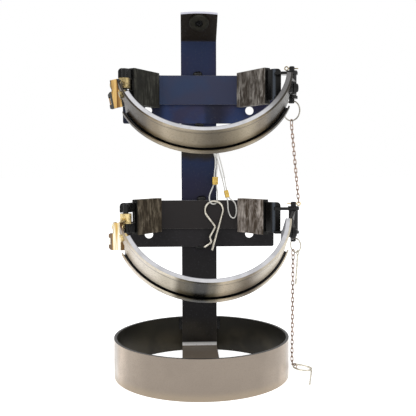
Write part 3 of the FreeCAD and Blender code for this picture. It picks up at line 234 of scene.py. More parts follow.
class Finish:
    """A material under construction: short calls that add one node each and return its output."""

    def __init__(self, name):
        self.material = bpy.data.materials.new(name)
        self.material.use_nodes = True
        self.tree = self.material.node_tree
        self.tree.nodes.clear()
        self.shader = self.node("ShaderNodeBsdfPrincipled")
        output = self.node("ShaderNodeOutputMaterial")
        self.link(self.shader.outputs["BSDF"], output.inputs["Surface"])
        self.place = self.node("ShaderNodeTexCoord").outputs["Object"]

    def node(self, kind):
        return self.tree.nodes.new(kind)

    def link(self, source, target):
        self.tree.links.new(source, target)

    def put(self, target, value):
        """Sets a socket to a number or colour, or links it to an output."""
        if isinstance(value, bpy.types.NodeSocket):
            self.link(value, target)
        elif hasattr(value, "__len__") and len(value) == 3 and target.type == "RGBA":
            target.default_value = (*value, 1.0)
        else:
            target.default_value = value

    def shade(self, **sockets):
        for name, value in sockets.items():
            self.put(self.shader.inputs[name.replace("_", " ")], value)

    def maths(self, operation, first, second=0.0):
        node = self.node("ShaderNodeMath")
        node.operation = operation
        self.put(node.inputs[0], first)
        self.put(node.inputs[1], second)
        return node.outputs[0]

    def times(self, first, second):
        return self.maths("MULTIPLY", first, second)

    def wander(self, value, noise, reach):
        """A value pushed either way by a noise."""
        return self.maths("ADD", value, self.times(self.maths("SUBTRACT", noise, 0.5), reach))

    def distance(self, x, y):
        """How far a point is from the origin in two directions."""
        return self.maths("SQRT", self.maths("ADD", self.times(x, x), self.times(y, y)))

    def stretch(self, scale, turn=(0, 0, 0), move=(0, 0, 0), place=None):
        """Object coordinates moved, turned and scaled."""
        node = self.node("ShaderNodeMapping")
        self.link(place or self.place, node.inputs["Vector"])
        node.inputs["Location"].default_value = move
        node.inputs["Rotation"].default_value = turn
        node.inputs["Scale"].default_value = scale
        return node.outputs["Vector"]

    def noise(self, pattern, vector=None, distortion=0.0):
        scale, detail, roughness = PATTERNS[pattern]
        node = self.node("ShaderNodeTexNoise")
        self.link(vector or self.place, node.inputs["Vector"])
        node.inputs["Scale"].default_value = scale
        node.inputs["Detail"].default_value = detail
        node.inputs["Roughness"].default_value = roughness
        node.inputs["Distortion"].default_value = distortion
        return node.outputs["Fac"]

    def step(self, value, low, high, to_low=0.0, to_high=1.0):
        """A smooth ramp of a value from low to high."""
        node = self.node("ShaderNodeMapRange")
        node.interpolation_type = "SMOOTHSTEP"
        self.put(node.inputs["Value"], value)
        node.inputs["From Min"].default_value = low
        node.inputs["From Max"].default_value = high
        node.inputs["To Min"].default_value = to_low
        node.inputs["To Max"].default_value = to_high
        return node.outputs["Result"]

    def within(self, value, rise, fall):
        """One between a rise and a fall of a value, each from where it starts to where it ends."""
        return self.times(self.step(value, *rise), self.step(value, *fall))

    def blend(self, factor, first, second, way="MIX"):
        node = self.node("ShaderNodeMix")
        node.data_type = "RGBA"
        node.blend_type = way
        self.put(node.inputs["Factor"], factor)
        self.put(node.inputs[MIX_FIRST], first)
        self.put(node.inputs[MIX_SECOND], second)
        return node.outputs[MIX_RESULT]

    def layered(self, body, layers):
        """A tone under layers, each the share that it covers and its own tone."""
        for cover, tone in layers:
            body = self.blend(cover, body, tone)
        return body

    def zones(self, value, stops):
        """Colours that flow into one another along a value, each stop a value and its colour."""
        low, high = stops[0][0], stops[-1][0]
        node = self.node("ShaderNodeValToRGB")
        node.color_ramp.interpolation = "EASE"
        elements = node.color_ramp.elements
        while len(elements) < len(stops):
            elements.new(0.5)
        for element, (at, colour) in zip(elements, stops):
            element.position = (at - low) / (high - low)
            element.color = (*colour, 1.0)
        share = self.maths("DIVIDE", self.maths("SUBTRACT", value, low), high - low)
        self.put(node.inputs["Fac"], share)
        return node.outputs["Color"]

    def facing(self, way):
        """The share of a surface's normal along a way."""
        geometry = self.node("ShaderNodeNewGeometry")
        dot = self.node("ShaderNodeVectorMath")
        dot.operation = "DOT_PRODUCT"
        self.link(geometry.outputs["Normal"], dot.inputs[0])
        self.put(dot.inputs[1], way)
        return dot.outputs["Value"]

    def split(self, vector=None):
        node = self.node("ShaderNodeSeparateXYZ")
        self.link(vector or self.place, node.inputs[0])
        return node.outputs

    def rounded(self, radius):
        """The normal, rounded over sharp edges."""
        bevel = self.node("ShaderNodeBevel")
        bevel.samples = EDGE_SAMPLES
        bevel.inputs["Radius"].default_value = radius
        return bevel.outputs[0]

    def edge(self, radius):
        """One on sharp edges and zero on flats, from a normal rounded over the radius."""
        return self.step(self.facing(self.rounded(radius)), *EDGE_TURN)

    def bump(self, height, strength, distance, normal=None):
        node = self.node("ShaderNodeBump")
        node.inputs["Strength"].default_value = strength
        node.inputs["Distance"].default_value = distance
        self.link(height, node.inputs["Height"])
        if normal is not None:
            self.link(normal, node.inputs["Normal"])
        return node.outputs[0]


def dress(names, material):
    """Gives CAD nodes a finish."""
    for name in names:
        mesh = NODES[name].data
        mesh.materials.clear()
        mesh.materials.append(material)


def shown(red, green, blue, share=1.0):
    """A surface colour from the screen values that it should show, times a share of light."""
    def linear(value):
        part = value / 255
        return part / 12.92 if part <= 0.04045 else ((part + 0.055) / 1.055) ** 2.4
    return tuple(min(1.0, linear(value) * share) for value in (red, green, blue))


def scaled(colour, share):
    """A colour times a share of light."""
    return tuple(min(1.0, part * share) for part in colour)


# Shared mesh code

def grid_mesh(name, points, material):
    """A flat-shaded mesh object from a grid of points."""
    rows, columns = points.shape[:2]
    index = np.arange(rows * columns).reshape(rows, columns)
    quads = np.stack([index[:-1, :-1], index[1:, :-1], index[1:, 1:], index[:-1, 1:]], axis=-1)
    mesh = bpy.data.meshes.new(name)
    mesh.from_pydata(points.reshape(-1, 3).tolist(), [], quads.reshape(-1, 4).tolist())
    mesh.validate()
    mesh.update()
    mesh.materials.append(material)
    made = bpy.data.objects.new(name, mesh)
    bpy.context.scene.collection.objects.link(made)
    return made


# Stage: each lamp's name, place, size and setting for its power

SENSOR_WIDTH = 36.0
CLIP_START = 0.01
CLIP_END = 60.0
FLOOR_POINTS = 5
FLOOR_LIFT = 0.75
LAMPS = (
    ("key_lamp", (-0.8, -1.3, 1.3), 1.4, "key_power"),
    ("fill_lamp", (1.3, -0.9, 0.6), 1.2, "fill_power"),
)


class BRACKET_OT_stage(Operator):
    """Makes the camera, the plain pale floor, the soft light and the white background"""
    bl_idname = "bracket.stage"
    bl_label = "Stage"

    def execute(self, context):
        scene = context.scene
        scene.view_settings.view_transform = "Standard"
        self.make_camera(scene)
        self.make_world(scene)
        self.make_floor(scene)
        self.make_lamps(scene)
        return {"FINISHED"}

    def make_camera(self, scene):
        """The camera turned by yaw, then pitch, then roll."""
        view = scene.bracket_camera
        right = np.array([math.cos(view.yaw), math.sin(view.yaw), 0.0])
        ahead = np.array([-math.sin(view.yaw), math.cos(view.yaw), 0.0])
        rise = np.array([0.0, 0.0, 1.0])
        forward = math.cos(view.pitch) * ahead - math.sin(view.pitch) * rise
        up = math.sin(view.pitch) * ahead + math.cos(view.pitch) * rise
        turned_right = math.cos(view.roll) * right + math.sin(view.roll) * up
        turned_up = -math.sin(view.roll) * right + math.cos(view.roll) * up
        turn = Matrix(np.stack([turned_right, turned_up, -forward], axis=1).tolist())
        camera = bpy.data.cameras.new("camera")
        camera.sensor_width = SENSOR_WIDTH
        camera.lens = view.lens
        camera.clip_start = CLIP_START
        camera.clip_end = CLIP_END
        holder = bpy.data.objects.new("camera", camera)
        holder.matrix_world = Matrix.Translation(Vector(view.place)) @ turn.to_4x4()
        scene.collection.objects.link(holder)
        scene.camera = holder

    def make_world(self, scene):
        """White to the camera, to gloss and through glass, and softer to the light on the object."""
        world = bpy.data.worlds.new("studio")
        world.use_nodes = True
        tree = world.node_tree
        tree.nodes.clear()
        soft = tree.nodes.new("ShaderNodeBackground")
        soft.inputs["Strength"].default_value = scene.bracket_stage.soft_light
        white = tree.nodes.new("ShaderNodeBackground")
        white.inputs["Strength"].default_value = 1.0
        for shader in (soft, white):
            shader.inputs["Color"].default_value = (1.0, 1.0, 1.0, 1.0)
        mix = tree.nodes.new("ShaderNodeMixShader")
        output = tree.nodes.new("ShaderNodeOutputWorld")
        tree.links.new(seen_rays(tree), mix.inputs[0])
        tree.links.new(soft.outputs[0], mix.inputs[1])
        tree.links.new(white.outputs[0], mix.inputs[2])
        tree.links.new(mix.outputs[0], output.inputs["Surface"])
        scene.world = world

    def make_floor(self, scene):
        """A flat floor whose own shadow stays, brought up to white where a seen ray meets it."""
        half = scene.bracket_stage.floor_size / 2
        spread = np.linspace(-half, half, FLOOR_POINTS)
        x, y = np.meshgrid(spread, spread, indexing="ij")
        points = np.stack([x, y, np.full_like(x, FLOOR)], axis=-1)
        material = bpy.data.materials.new("pale_floor")
        material.use_nodes = True
        tree = material.node_tree
        tree.nodes.clear()
        diffuse = tree.nodes.new("ShaderNodeBsdfDiffuse")
        diffuse.inputs["Color"].default_value = (*scene.bracket_stage.floor_colour, 1.0)
        lift = tree.nodes.new("ShaderNodeEmission")
        lift.inputs["Strength"].default_value = FLOOR_LIFT
        add = tree.nodes.new("ShaderNodeAddShader")
        mix = tree.nodes.new("ShaderNodeMixShader")
        output = tree.nodes.new("ShaderNodeOutputMaterial")
        tree.links.new(diffuse.outputs[0], add.inputs[0])
        tree.links.new(lift.outputs[0], add.inputs[1])
        tree.links.new(seen_rays(tree), mix.inputs[0])
        tree.links.new(diffuse.outputs[0], mix.inputs[1])
        tree.links.new(add.outputs[0], mix.inputs[2])
        tree.links.new(mix.outputs[0], output.inputs["Surface"])
        grid_mesh("floor", points, material)

    def make_lamps(self, scene):
        """Two big soft lamps."""
        for name, place, size, power in LAMPS:
            light = bpy.data.lights.new(name, "AREA")
            light.size = size
            light.energy = getattr(scene.bracket_stage, power)
            lamp = bpy.data.objects.new(name, light)
            lamp.location = place
            lamp.rotation_euler = (-Vector(place)).to_track_quat("-Z", "Y").to_euler()
            scene.collection.objects.link(lamp)


def seen_rays(tree):
    """One for rays from the camera, from gloss and through glass."""
    path = tree.nodes.new("ShaderNodeLightPath")
    total = path.outputs["Is Camera Ray"]
    for name in ("Is Glossy Ray", "Is Transmission Ray"):
        add = tree.nodes.new("ShaderNodeMath")
        add.operation = "ADD"
        add.use_clamp = True
        tree.links.new(total, add.inputs[0])
        tree.links.new(path.outputs[name], add.inputs[1])
        total = add.outputs[0]
    return total


# Lanyards: x, depth and height above the strap's foot of each point, in mm

LANYARD_ROUTES = {
    "lanyard_1": [
        (18.0, 8.0, 208.8), (18.5, 7.7, 216.0), (19.7, 6.2, 224.0), (19.5, 3.7, 233.0),
        (16.6, 1.8, 240.5), (14.1, 1.3, 245.5), (14.1, 1.2, 250.4), (20.9, 1.2, 250.4),
        (21.1, 1.5, 243.0), (21.4, 2.6, 236.0), (21.6, 4.8, 227.0), (21.1, 7.1, 217.5),
        (20.4, 8.0, 208.8),
    ],
    "lanyard_1_loop": [
        (17.4, 8.0, 200.4), (15.4, 8.6, 194.8), (12.6, 9.6, 189.4), (11.7, 10.7, 183.6),
        (12.8, 11.4, 179.2), (15.1, 11.1, 177.1), (17.8, 9.3, 176.7), (20.3, 7.1, 177.6),
        (22.0, 6.9, 181.4), (22.2, 7.0, 187.2), (21.5, 7.5, 193.4), (20.5, 8.0, 200.4),
    ],
    "lanyard_2": [
        (30.8, 8.3, 192.6), (29.1, 8.2, 199.8), (27.3, 7.6, 208.2), (24.9, 6.9, 217.5),
        (22.9, 6.2, 226.5), (20.2, 5.2, 235.3), (16.2, 3.5, 241.5), (14.05, 3.1, 246.3),
        (14.05, 3.0, 250.4), (20.9, 3.0, 250.4), (21.4, 3.3, 244.0), (23.0, 4.6, 237.0),
        (25.3, 5.9, 228.0), (27.9, 6.9, 218.5), (29.8, 7.7, 209.5), (31.2, 8.1, 201.0),
        (32.9, 8.3, 192.9),
    ],
    "lanyard_2_loop": [
        (32.9, 8.3, 184.9), (34.1, 8.3, 179.3), (34.2, 8.2, 172.5), (35.3, 8.4, 166.0),
        (37.8, 8.8, 161.0), (41.4, 10.2, 159.6), (43.8, 11.4, 163.4), (44.3, 12.0, 169.8),
        (43.2, 11.5, 176.7), (40.4, 10.0, 181.0), (37.2, 8.9, 182.4), (34.7, 8.3, 185.4),
    ],
}

# How round each cable's section is, how many steps each span of its curve takes, and the curve's order
CABLE_ROUNDNESS = 4
CABLE_STEPS = 12
CABLE_ORDER = 3


def white_cable():
    """Smooth white plastic with a little grime."""
    finish = Finish("white_cable")
    grime = finish.step(finish.noise("grime"), 0.45, 0.75)
    white = bpy.context.scene.bracket_cord.white
    finish.shade(
        Base_Color=finish.blend(grime, white, scaled(white, 0.72)),
        Roughness=0.38,
        Coat_Weight=0.3)
    return finish.material


class BRACKET_OT_lanyards(Operator):
    """Makes the four lengths of coated cable that the ferrules crimp"""
    bl_idname = "bracket.lanyards"
    bl_label = "Lanyards"

    def execute(self, context):
        material = white_cable()
        diameter = context.scene.bracket_cord.diameter
        for name, route in LANYARD_ROUTES.items():
            curve = bpy.data.curves.new(name + "_cable", "CURVE")
            curve.dimensions = "3D"
            curve.bevel_depth = diameter / 2
            curve.bevel_resolution = CABLE_ROUNDNESS
            curve.resolution_u = CABLE_STEPS
            curve.use_fill_caps = True
            spline = curve.splines.new("NURBS")
            spline.points.add(len(route) - 1)
            for point, place in zip(spline.points, route):
                point.co = (*above_foot(*place), 1.0)
            spline.order_u = CABLE_ORDER
            spline.use_endpoint_u = True
            curve.materials.append(material)
            cable = bpy.data.objects.new(name + "_cable", curve)
            context.scene.collection.objects.link(cable)
            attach(cable, "frame")
            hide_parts(name)
        return {"FINISHED"}


# Paint on the strap, plates and cradles: its grain, its rounded edges, its roughness and its specks
GRAIN_DEPTH = 0.4 * MM
RUBBED_EDGE = 0.7 * MM
SOFT_EDGE = 0.6 * MM
GLOSS_EDGE = 0.5 * MM
SATIN = (0.34, 0.50)
SPECK = (0.07, 0.07, 0.08)

# Heights in metres where a tone starts and where it is full
PLATE_DARKENS = (0.06, -0.02)
STRAP_DARKENS = (0.06, -0.08)
CRADLE_DARKENS = (0.06, 0.0)
BROWN_STRETCH = ((0.010, 0.020), (0.056, 0.046))
SMEAR_STRETCH = ((0.026, 0.032), (0.042, 0.036))
RING_SHADES = (RING_HIGH.z + 4 * MM, RING_HIGH.z - 12 * MM)
FOOT_TOP = (FOOT + 12 * MM, FOOT + 8 * MM)
# Heights of the painted highlight along the strap's bend at the foot
FOOT_FOLD_HIGHLIGHT = ((FOOT + 3.5 * MM, FOOT + 4.2 * MM), (FOOT + 8.5 * MM, FOOT + 6.5 * MM))
# Heights of the painted shade on the tab's lower face
TAB_UNDERSIDE_SHADE = (0.150, 0.158)
# Heights of the painted highlight on the tab's end
TAB_END_HIGHLIGHT = (0.160, 0.165)

# Distances from the middle where the ears' black starts, and from their fold where its shine starts
EARS_START = (0.050, 0.066)
FOLD_SHINE = (2.2 * MM, 0.6 * MM)

# Painted shade and painted light in stretches across the plates: metres from the middle, and the share of
# the paint's colour
PLATE_LIGHT_AND_SHADE = {
    "upper": ((-0.090, 0.25), (-0.048, 0.3), (-0.036, 1.0), (0.002, 1.1), (0.010, 0.45), (0.026, 0.4),
              (0.040, 1.0), (0.090, 0.8)),
    "lower": ((-0.090, 0.6), (-0.040, 0.8), (-0.020, 1.3), (0.002, 1.3), (0.012, 0.7), (0.030, 0.8),
              (0.050, 1.2), (0.090, 0.8)),
}

# Tones that the paints are mixed from
PAINT_TONES = {
    "plate_violet": (0.030, 0.030, 0.070),
    "plate_bare": (0.26, 0.24, 0.23),
    "strap_violet": (0.018, 0.018, 0.050),
    "strap_brown": (0.016, 0.013, 0.011),
    "strap_smear": (0.075, 0.066, 0.060),
    "strap_bare": (0.26, 0.24, 0.22),
    "shade_dark": (0.012, 0.010, 0.008),
    "shade_light": (0.026, 0.022, 0.017),
    "foot_dust": (0.16, 0.13, 0.10),
    "foot_fold_highlight": (0.80, 0.79, 0.78),
    "tab_end_highlight": (0.62, 0.62, 0.72),
    "cradle_blue": (0.027, 0.044, 0.098),
    "cradle_violet": (0.036, 0.042, 0.084),
    "cradle_black": (0.019, 0.016, 0.016),
    "cradle_fold": (0.20, 0.24, 0.30),
    "cradle_top_highlight": (0.34, 0.36, 0.46),
    "cradle_bare": (0.32, 0.30, 0.28),
    "gloss_bare": (0.22, 0.20, 0.17),
}


def mottled(finish, pattern, first, second, place=None):
    """Two tones in big soft patches."""
    return finish.blend(finish.step(finish.noise(pattern, place), 0.42, 0.62), first, second)


def speckled(finish, fine, body):
    """A body tone with small light specks."""
    return finish.blend(finish.step(fine, 0.56, 0.74, 0.0, 0.30), body, SPECK)


def rubbed(finish, body, bare, least, most):
    """A body tone with bare metal along its sharp edges, in patches from least to most."""
    patches = finish.step(finish.noise("rubbing"), 0.35, 0.6, least, most)
    return finish.blend(finish.times(finish.edge(RUBBED_EDGE), patches), body, bare)


def plate_paint(row):
    """Satin paint: mottled dark blue above and nearly black below, with painted shade and painted light in
    spans across the plate.
    """
    tones = PAINT_TONES
    paint = bpy.context.scene.bracket_paint
    finish = Finish("plate_paint_" + row)
    x, _, height = finish.split()
    cloudy = finish.noise("clouds")
    fine = finish.noise("grain")
    violet = mottled(finish, "plate_mottle", scaled(paint.upper_blue, 1.7), tones["plate_violet"])
    body = finish.blend(finish.step(height, *PLATE_DARKENS), violet, scaled(paint.lower_black, 1.3))
    # Painted shade and light: the paint's colour is darkened and lightened in spans across the plate
    stretches = [(at, (part, part, part)) for at, part in PLATE_LIGHT_AND_SHADE[row]]
    share = finish.zones(finish.wander(x, cloudy, 0.02), stretches)
    body = speckled(finish, fine, finish.blend(1.0, body, share, "MULTIPLY"))
    finish.shade(
        Base_Color=rubbed(finish, body, tones["plate_bare"], 0.1, 0.45),
        Roughness=finish.step(cloudy, 0.3, 0.7, *SATIN),
        Normal=finish.bump(fine, 0.08, GRAIN_DEPTH, finish.rounded(SOFT_EDGE)),
        Specular_IOR_Level=0.18)
    return finish.material


def tab_and_strap_paint():
    """The strap's paint, with painted olive brown shade on the tab's lower face, a painted pale highlight
    on the end of the tab that leans out, and a painted highlight along the foot's bend.
    """
    tones = PAINT_TONES
    paint = bpy.context.scene.bracket_paint
    finish = Finish("back_strap_paint")
    height = finish.split()[2]
    upward = finish.facing(UP)
    cloudy = finish.noise("clouds")
    fine = finish.noise("grain")
    level = finish.maths("ADD", height, finish.times(cloudy, 0.05))
    tall = finish.stretch((1, 1, 0.6))
    violet = mottled(finish, "strap_mottle", paint.upper_blue, tones["strap_violet"], tall)
    shade = finish.blend(finish.step(cloudy, 0.4, 0.65), tones["shade_dark"], tones["shade_light"])
    patchy = finish.wander(height, cloudy, 0.03)
    smear = finish.times(finish.within(patchy, *SMEAR_STRETCH), 0.5)
    foot = finish.times(finish.step(upward, 0.15, 0.95), finish.step(height, *FOOT_TOP))
    # A painted highlight along the bend of the foot
    fold = finish.times(finish.within(height, *FOOT_FOLD_HIGHLIGHT), 0.9)
    # Painted shade on the tab's downward faces
    below = finish.times(finish.step(upward, -0.3, -0.6), finish.step(height, *TAB_UNDERSIDE_SHADE))
    layers = (
        (finish.step(level, *STRAP_DARKENS), paint.lower_black),
        (finish.within(patchy, *BROWN_STRETCH), tones["strap_brown"]),
        (smear, tones["strap_smear"]),
        (finish.step(height, *RING_SHADES), shade),
        (foot, tones["foot_dust"]),
        (fold, tones["foot_fold_highlight"]),
        (below, paint.tab_underside_shade),
    )
    body = speckled(finish, fine, finish.layered(violet, layers))
    worn = rubbed(finish, body, tones["strap_bare"], 0.1, 0.5)
    # A painted pale highlight on the tab's end where it faces up and forward
    end = finish.times(finish.step(finish.facing(TAB_WAY), 0.85, 0.95), finish.step(height, *TAB_END_HIGHLIGHT))
    finish.shade(
        Base_Color=finish.blend(end, worn, tones["tab_end_highlight"]),
        Roughness=finish.step(cloudy, 0.3, 0.7, *SATIN),
        Normal=finish.bump(fine, 0.08, GRAIN_DEPTH, finish.rounded(SOFT_EDGE)),
        Specular_IOR_Level=0.16)
    return finish.material


def cradle_paint():
    """The strap's paint on the flat back, and gloss black out on the ears, with a painted shine along the
    ears' folds and a painted highlight on the upward faces of the back.
    """
    tones = PAINT_TONES
    finish = Finish("cradle_paint")
    x, _, height = finish.split()
    across = finish.maths("ABSOLUTE", x)
    patches = finish.step(finish.noise("cradle_mottle"), 0.40, 0.62)
    violet = finish.blend(patches, tones["cradle_blue"], tones["cradle_violet"])
    out = finish.step(across, *EARS_START)
    from_fold = finish.maths("ABSOLUTE", finish.maths("SUBTRACT", across, EAR_FOLD))
    # Painted highlight on the upward faces of the flat back
    top = finish.times(finish.step(finish.facing(UP), 0.7, 0.95), finish.step(out, 1.0, 0.0))
    layers = (
        (finish.step(height, *CRADLE_DARKENS), tones["cradle_black"]),
        (out, bpy.context.scene.bracket_paint.ear_black),
        # Painted shine along the ears' folds
        (finish.times(finish.step(from_fold, *FOLD_SHINE), 0.30), tones["cradle_fold"]),
        (top, tones["cradle_top_highlight"]),
    )
    finish.shade(
        Base_Color=rubbed(finish, finish.layered(violet, layers), tones["cradle_bare"], 0.15, 0.7),
        Roughness=finish.step(out, 0.0, 1.0, 0.42, 0.22),
        Normal=finish.bump(finish.noise("grain"), 0.06, GRAIN_DEPTH, finish.rounded(SOFT_EDGE)),
        Specular_IOR_Level=0.2)
    return finish.material


def gloss_black():
    """Glossy black paint with rubbed edges."""
    finish = Finish("gloss_black")
    worn = finish.step(finish.noise("gloss_chips"), 0.52, 0.66, 0.0, 0.8)
    rub = finish.times(finish.edge(GLOSS_EDGE), worn)
    finish.shade(
        Base_Color=finish.blend(rub, bpy.context.scene.bracket_paint.ear_black, PAINT_TONES["gloss_bare"]),
        Roughness=finish.step(finish.noise("gloss_patches"), 0.3, 0.7, 0.16, 0.32),
        Normal=finish.bump(finish.noise("gloss_grain"), 0.12, GRAIN_DEPTH, finish.rounded(GLOSS_EDGE)),
        Specular_IOR_Level=0.25)
    return finish.material


# The gloss black pieces of each row
BLACK_KINDS = (
    "hinge_lugs", "hinge_pin", "hinge_washer", "swivel", "latch_pin", "lift_rivet", "lift_washer",
    "weld_beads")


class BRACKET_OT_paintwork(Operator):
    """Paints the strap, cross plates, cradles and hinge steel"""
    bl_idname = "bracket.paintwork"
    bl_label = "Paintwork"

    def execute(self, context):
        dress(["back_strap"], tab_and_strap_paint())
        for row in ROWS:
            dress(["cross_plate_" + row], plate_paint(row))
        dress(["cradle_" + row for row in ROWS], cradle_paint())
        black_pieces = [name + "_" + row for row in ROWS for name in BLACK_KINDS]
        dress(black_pieces + ["ring_welds", "bumper_screw"], gloss_black())
        return {"FINISHED"}


# Base ring

# Tones of the ring's paint, with its painted sheen, painted floor light and painted rim shade, and heights
# in metres where a tone starts and where it is full
RING_TONES = {
    "inner_light": (0.016, 0.014, 0.007),
    "inner_dust": (0.075, 0.062, 0.040),
    "side_shine": (0.95, 0.89, 0.83),
    "foot_floor_light": (0.50, 0.40, 0.28),
    "rim": (0.016, 0.013, 0.010),
}
RING_DUST = (RING_HIGH.z - 6 * MM, RING_LOW.z + 12 * MM)
# Heights of the painted warm light near the floor
RING_FLOOR_LIGHT = (RING_LOW.z + 10 * MM, RING_LOW.z + 1 * MM)
RING_GRAIN = 0.3 * MM


def ring_paint():
    """One paint, painted as lit warm grey outside and shaded dark olive inside, told apart by distance
    from the ring's axis, with a painted sheen towards the sides, painted warm light near the floor and
    painted shade on the upward rim.
    """
    tones = RING_TONES
    paint = bpy.context.scene.bracket_paint
    finish = Finish("base_ring_paint")
    half = (RING_HIGH - RING_LOW) / 2
    shares = (1 / half.x, 1 / half.y, 1)
    moved = finish.stretch(shares, move=(-RING_CENTRE.x / half.x, -RING_CENTRE.y / half.y, 0))
    x, y, height = finish.split(moved)
    wall = RING_WALL / half.x
    outside = finish.step(finish.distance(x, y), 1 - 0.75 * wall, 1 - 0.3 * wall)
    cloudy = finish.noise("ring_clouds")
    grain = finish.noise("ring_grain")
    patches = finish.step(finish.noise("ring_patches"), 0.40, 0.66)
    inner = finish.blend(patches, paint.ring_inside_shaded, tones["inner_light"])
    dust = finish.times(finish.step(height, *RING_DUST), finish.step(cloudy, 0.40, 0.60, 0.1, 0.55))
    inner = finish.blend(dust, inner, tones["inner_dust"])
    grey = paint.ring_outside_lit
    # Painted reflection: the outer wall grows lighter towards its left and right sides, to a pale sheen
    outer = finish.zones(finish.maths("ABSOLUTE", x), (
        (0.0, grey), (0.55, scaled(grey, 1.04)), (0.78, scaled(grey, 1.35)), (0.90, scaled(grey, 2.3)),
        (0.96, tones["side_shine"]), (1.0, tones["side_shine"])))
    layers = (
        (finish.step(cloudy, 0.40, 0.62, 0.0, 0.5), scaled(grey, 0.9)),
        (finish.step(grain, 0.45, 0.65, 0.0, 0.25), scaled(grey, 0.75)),
        # Painted warm light from the floor on the ring's lowest part
        (finish.times(finish.step(height, *RING_FLOOR_LIGHT), 0.5), tones["foot_floor_light"]),
    )
    # Painted light and shade: the lit colour outside and the shaded colour inside
    body = finish.blend(outside, inner, finish.layered(outer, layers))
    # Painted shade on the upward faces of the rim
    rim = finish.step(finish.facing(UP), 0.8, 0.95)
    finish.shade(
        Base_Color=finish.blend(rim, body, tones["rim"]),
        Metallic=finish.times(outside, 0.2),
        Roughness=finish.step(outside, 0.0, 1.0, 0.42, 0.36),
        Normal=finish.bump(grain, 0.10, RING_GRAIN, finish.rounded(SOFT_EDGE)),
        Specular_IOR_Level=0.25)
    return finish.material


class BRACKET_OT_base_ring(Operator):
    """Paints the base ring"""
    bl_idname = "bracket.base_ring"
    bl_label = "Base ring"

    def execute(self, context):
        dress(["base_ring"], ring_paint())
        return {"FINISHED"}


# Bands and liners

# From each lift pin to its band's axis, to the left and back, and the band's outer radius
BAND_AXIS = {"upper": (90.5 * MM, 24.1 * MM), "lower": (93.7 * MM, 11.0 * MM)}
BAND_RADIUS = 90.2 * MM
BAND_HALF = 15.0 * MM
GUTTER_REACH = 4.0 * MM
GUTTER_WALL = 1.5 * MM
GUTTER_LIP = 5.6 * MM

# Across a level band, in metres from where a tone starts to where it is full: the line under its upper
# edge, the gutter's inside where its painted shadow lies, by radius and by height, and the liner's inner
# line by radius
LINE_HEIGHTS = (
    (BAND_HALF - 3.4 * MM, BAND_HALF - 2.8 * MM),
    (BAND_HALF - 1.6 * MM, BAND_HALF - 2.2 * MM))
GUTTER_OUT = BAND_RADIUS + GUTTER_REACH - GUTTER_WALL
GUTTER_RADII = (
    (BAND_RADIUS - 0.3 * MM, BAND_RADIUS - 0.15 * MM),
    (GUTTER_OUT + 0.3 * MM, GUTTER_OUT + 0.1 * MM))
GUTTER_HEIGHTS = (
    (GUTTER_WALL - BAND_HALF - 0.9 * MM, GUTTER_WALL - BAND_HALF - 0.5 * MM),
    (GUTTER_LIP - BAND_HALF + 0.6 * MM, GUTTER_LIP - BAND_HALF + 0.2 * MM))
LINER_INSIDE = (BAND_RADIUS - 5.6 * MM, BAND_RADIUS - 6.0 * MM)
LINER_DARKENS = (34.0, 58.0)
FINE_GRAIN = 0.3 * MM
FINE_EDGE = 0.4 * MM

# Painted reflections along each band: degrees from straight ahead, then screen values
BAND_REFLECTIONS = {
    "upper": (
        (-75, (30, 20, 7)), (-56, (40, 29, 12)), (-46, (60, 47, 26)), (-36, (140, 124, 98)),
        (-27, (188, 173, 148)), (-18, (176, 162, 138)), (3, (106, 96, 78)), (26, (176, 162, 136)),
        (36, (120, 106, 84)), (46, (44, 36, 24)), (79, (22, 17, 11))),
    "lower": (
        (-71, (96, 66, 44)), (-60, (190, 174, 150)), (-46, (238, 228, 214)), (-19, (236, 226, 206)),
        (-13, (110, 100, 80)), (-7, (78, 72, 56)), (-3, (14, 12, 8)), (2, (14, 12, 8)),
        (7, (104, 96, 78)), (14, (206, 190, 164)), (30, (134, 122, 106)), (46, (212, 202, 184)),
        (60, (236, 226, 208)), (88, (200, 190, 170))),
}
REFLECTION_WANDER = {"upper": 8.0, "lower": 2.0}
BAND_LINES = (0.05, 0.042, 0.03)
BAND_EDGE_LINE = (0.02, 0.018, 0.015)
BAND_EDGE_HIGHLIGHT = (0.6, 0.55, 0.45)
GUTTER_SHADOW = (0.002, 0.002, 0.002)
LINER_LINE = (0.10, 0.10, 0.12)
LINER_DARK = (0.06, 0.055, 0.05)


def band_place(finish, row):
    """Where a point of a hanging band lies when the band is level, measured from the band's axis."""
    joints = frame["record"]["behaviour"]["joints"]
    joint = next(joint for joint in joints if joint["name"] == "band_lift_" + row)
    droop = math.radians(joint["range_deg"][1])
    roll = math.atan2(-joint["axis"][2], -joint["axis"][0])
    left, back = BAND_AXIS[row]
    moved = finish.stretch((1, 1, 1), move=[-part for part in joint["pos_m"]])
    rolled = finish.stretch((1, 1, 1), turn=(0, roll, 0), place=moved)
    level = finish.stretch((1, 1, 1), turn=(-droop, 0, 0), move=(left, -back, 0), place=rolled)
    x, y, height = finish.split(level)
    angle = finish.maths("DEGREES", finish.maths("ARCTAN2", x, finish.times(y, -1.0)))
    return angle, finish.distance(x, y), height


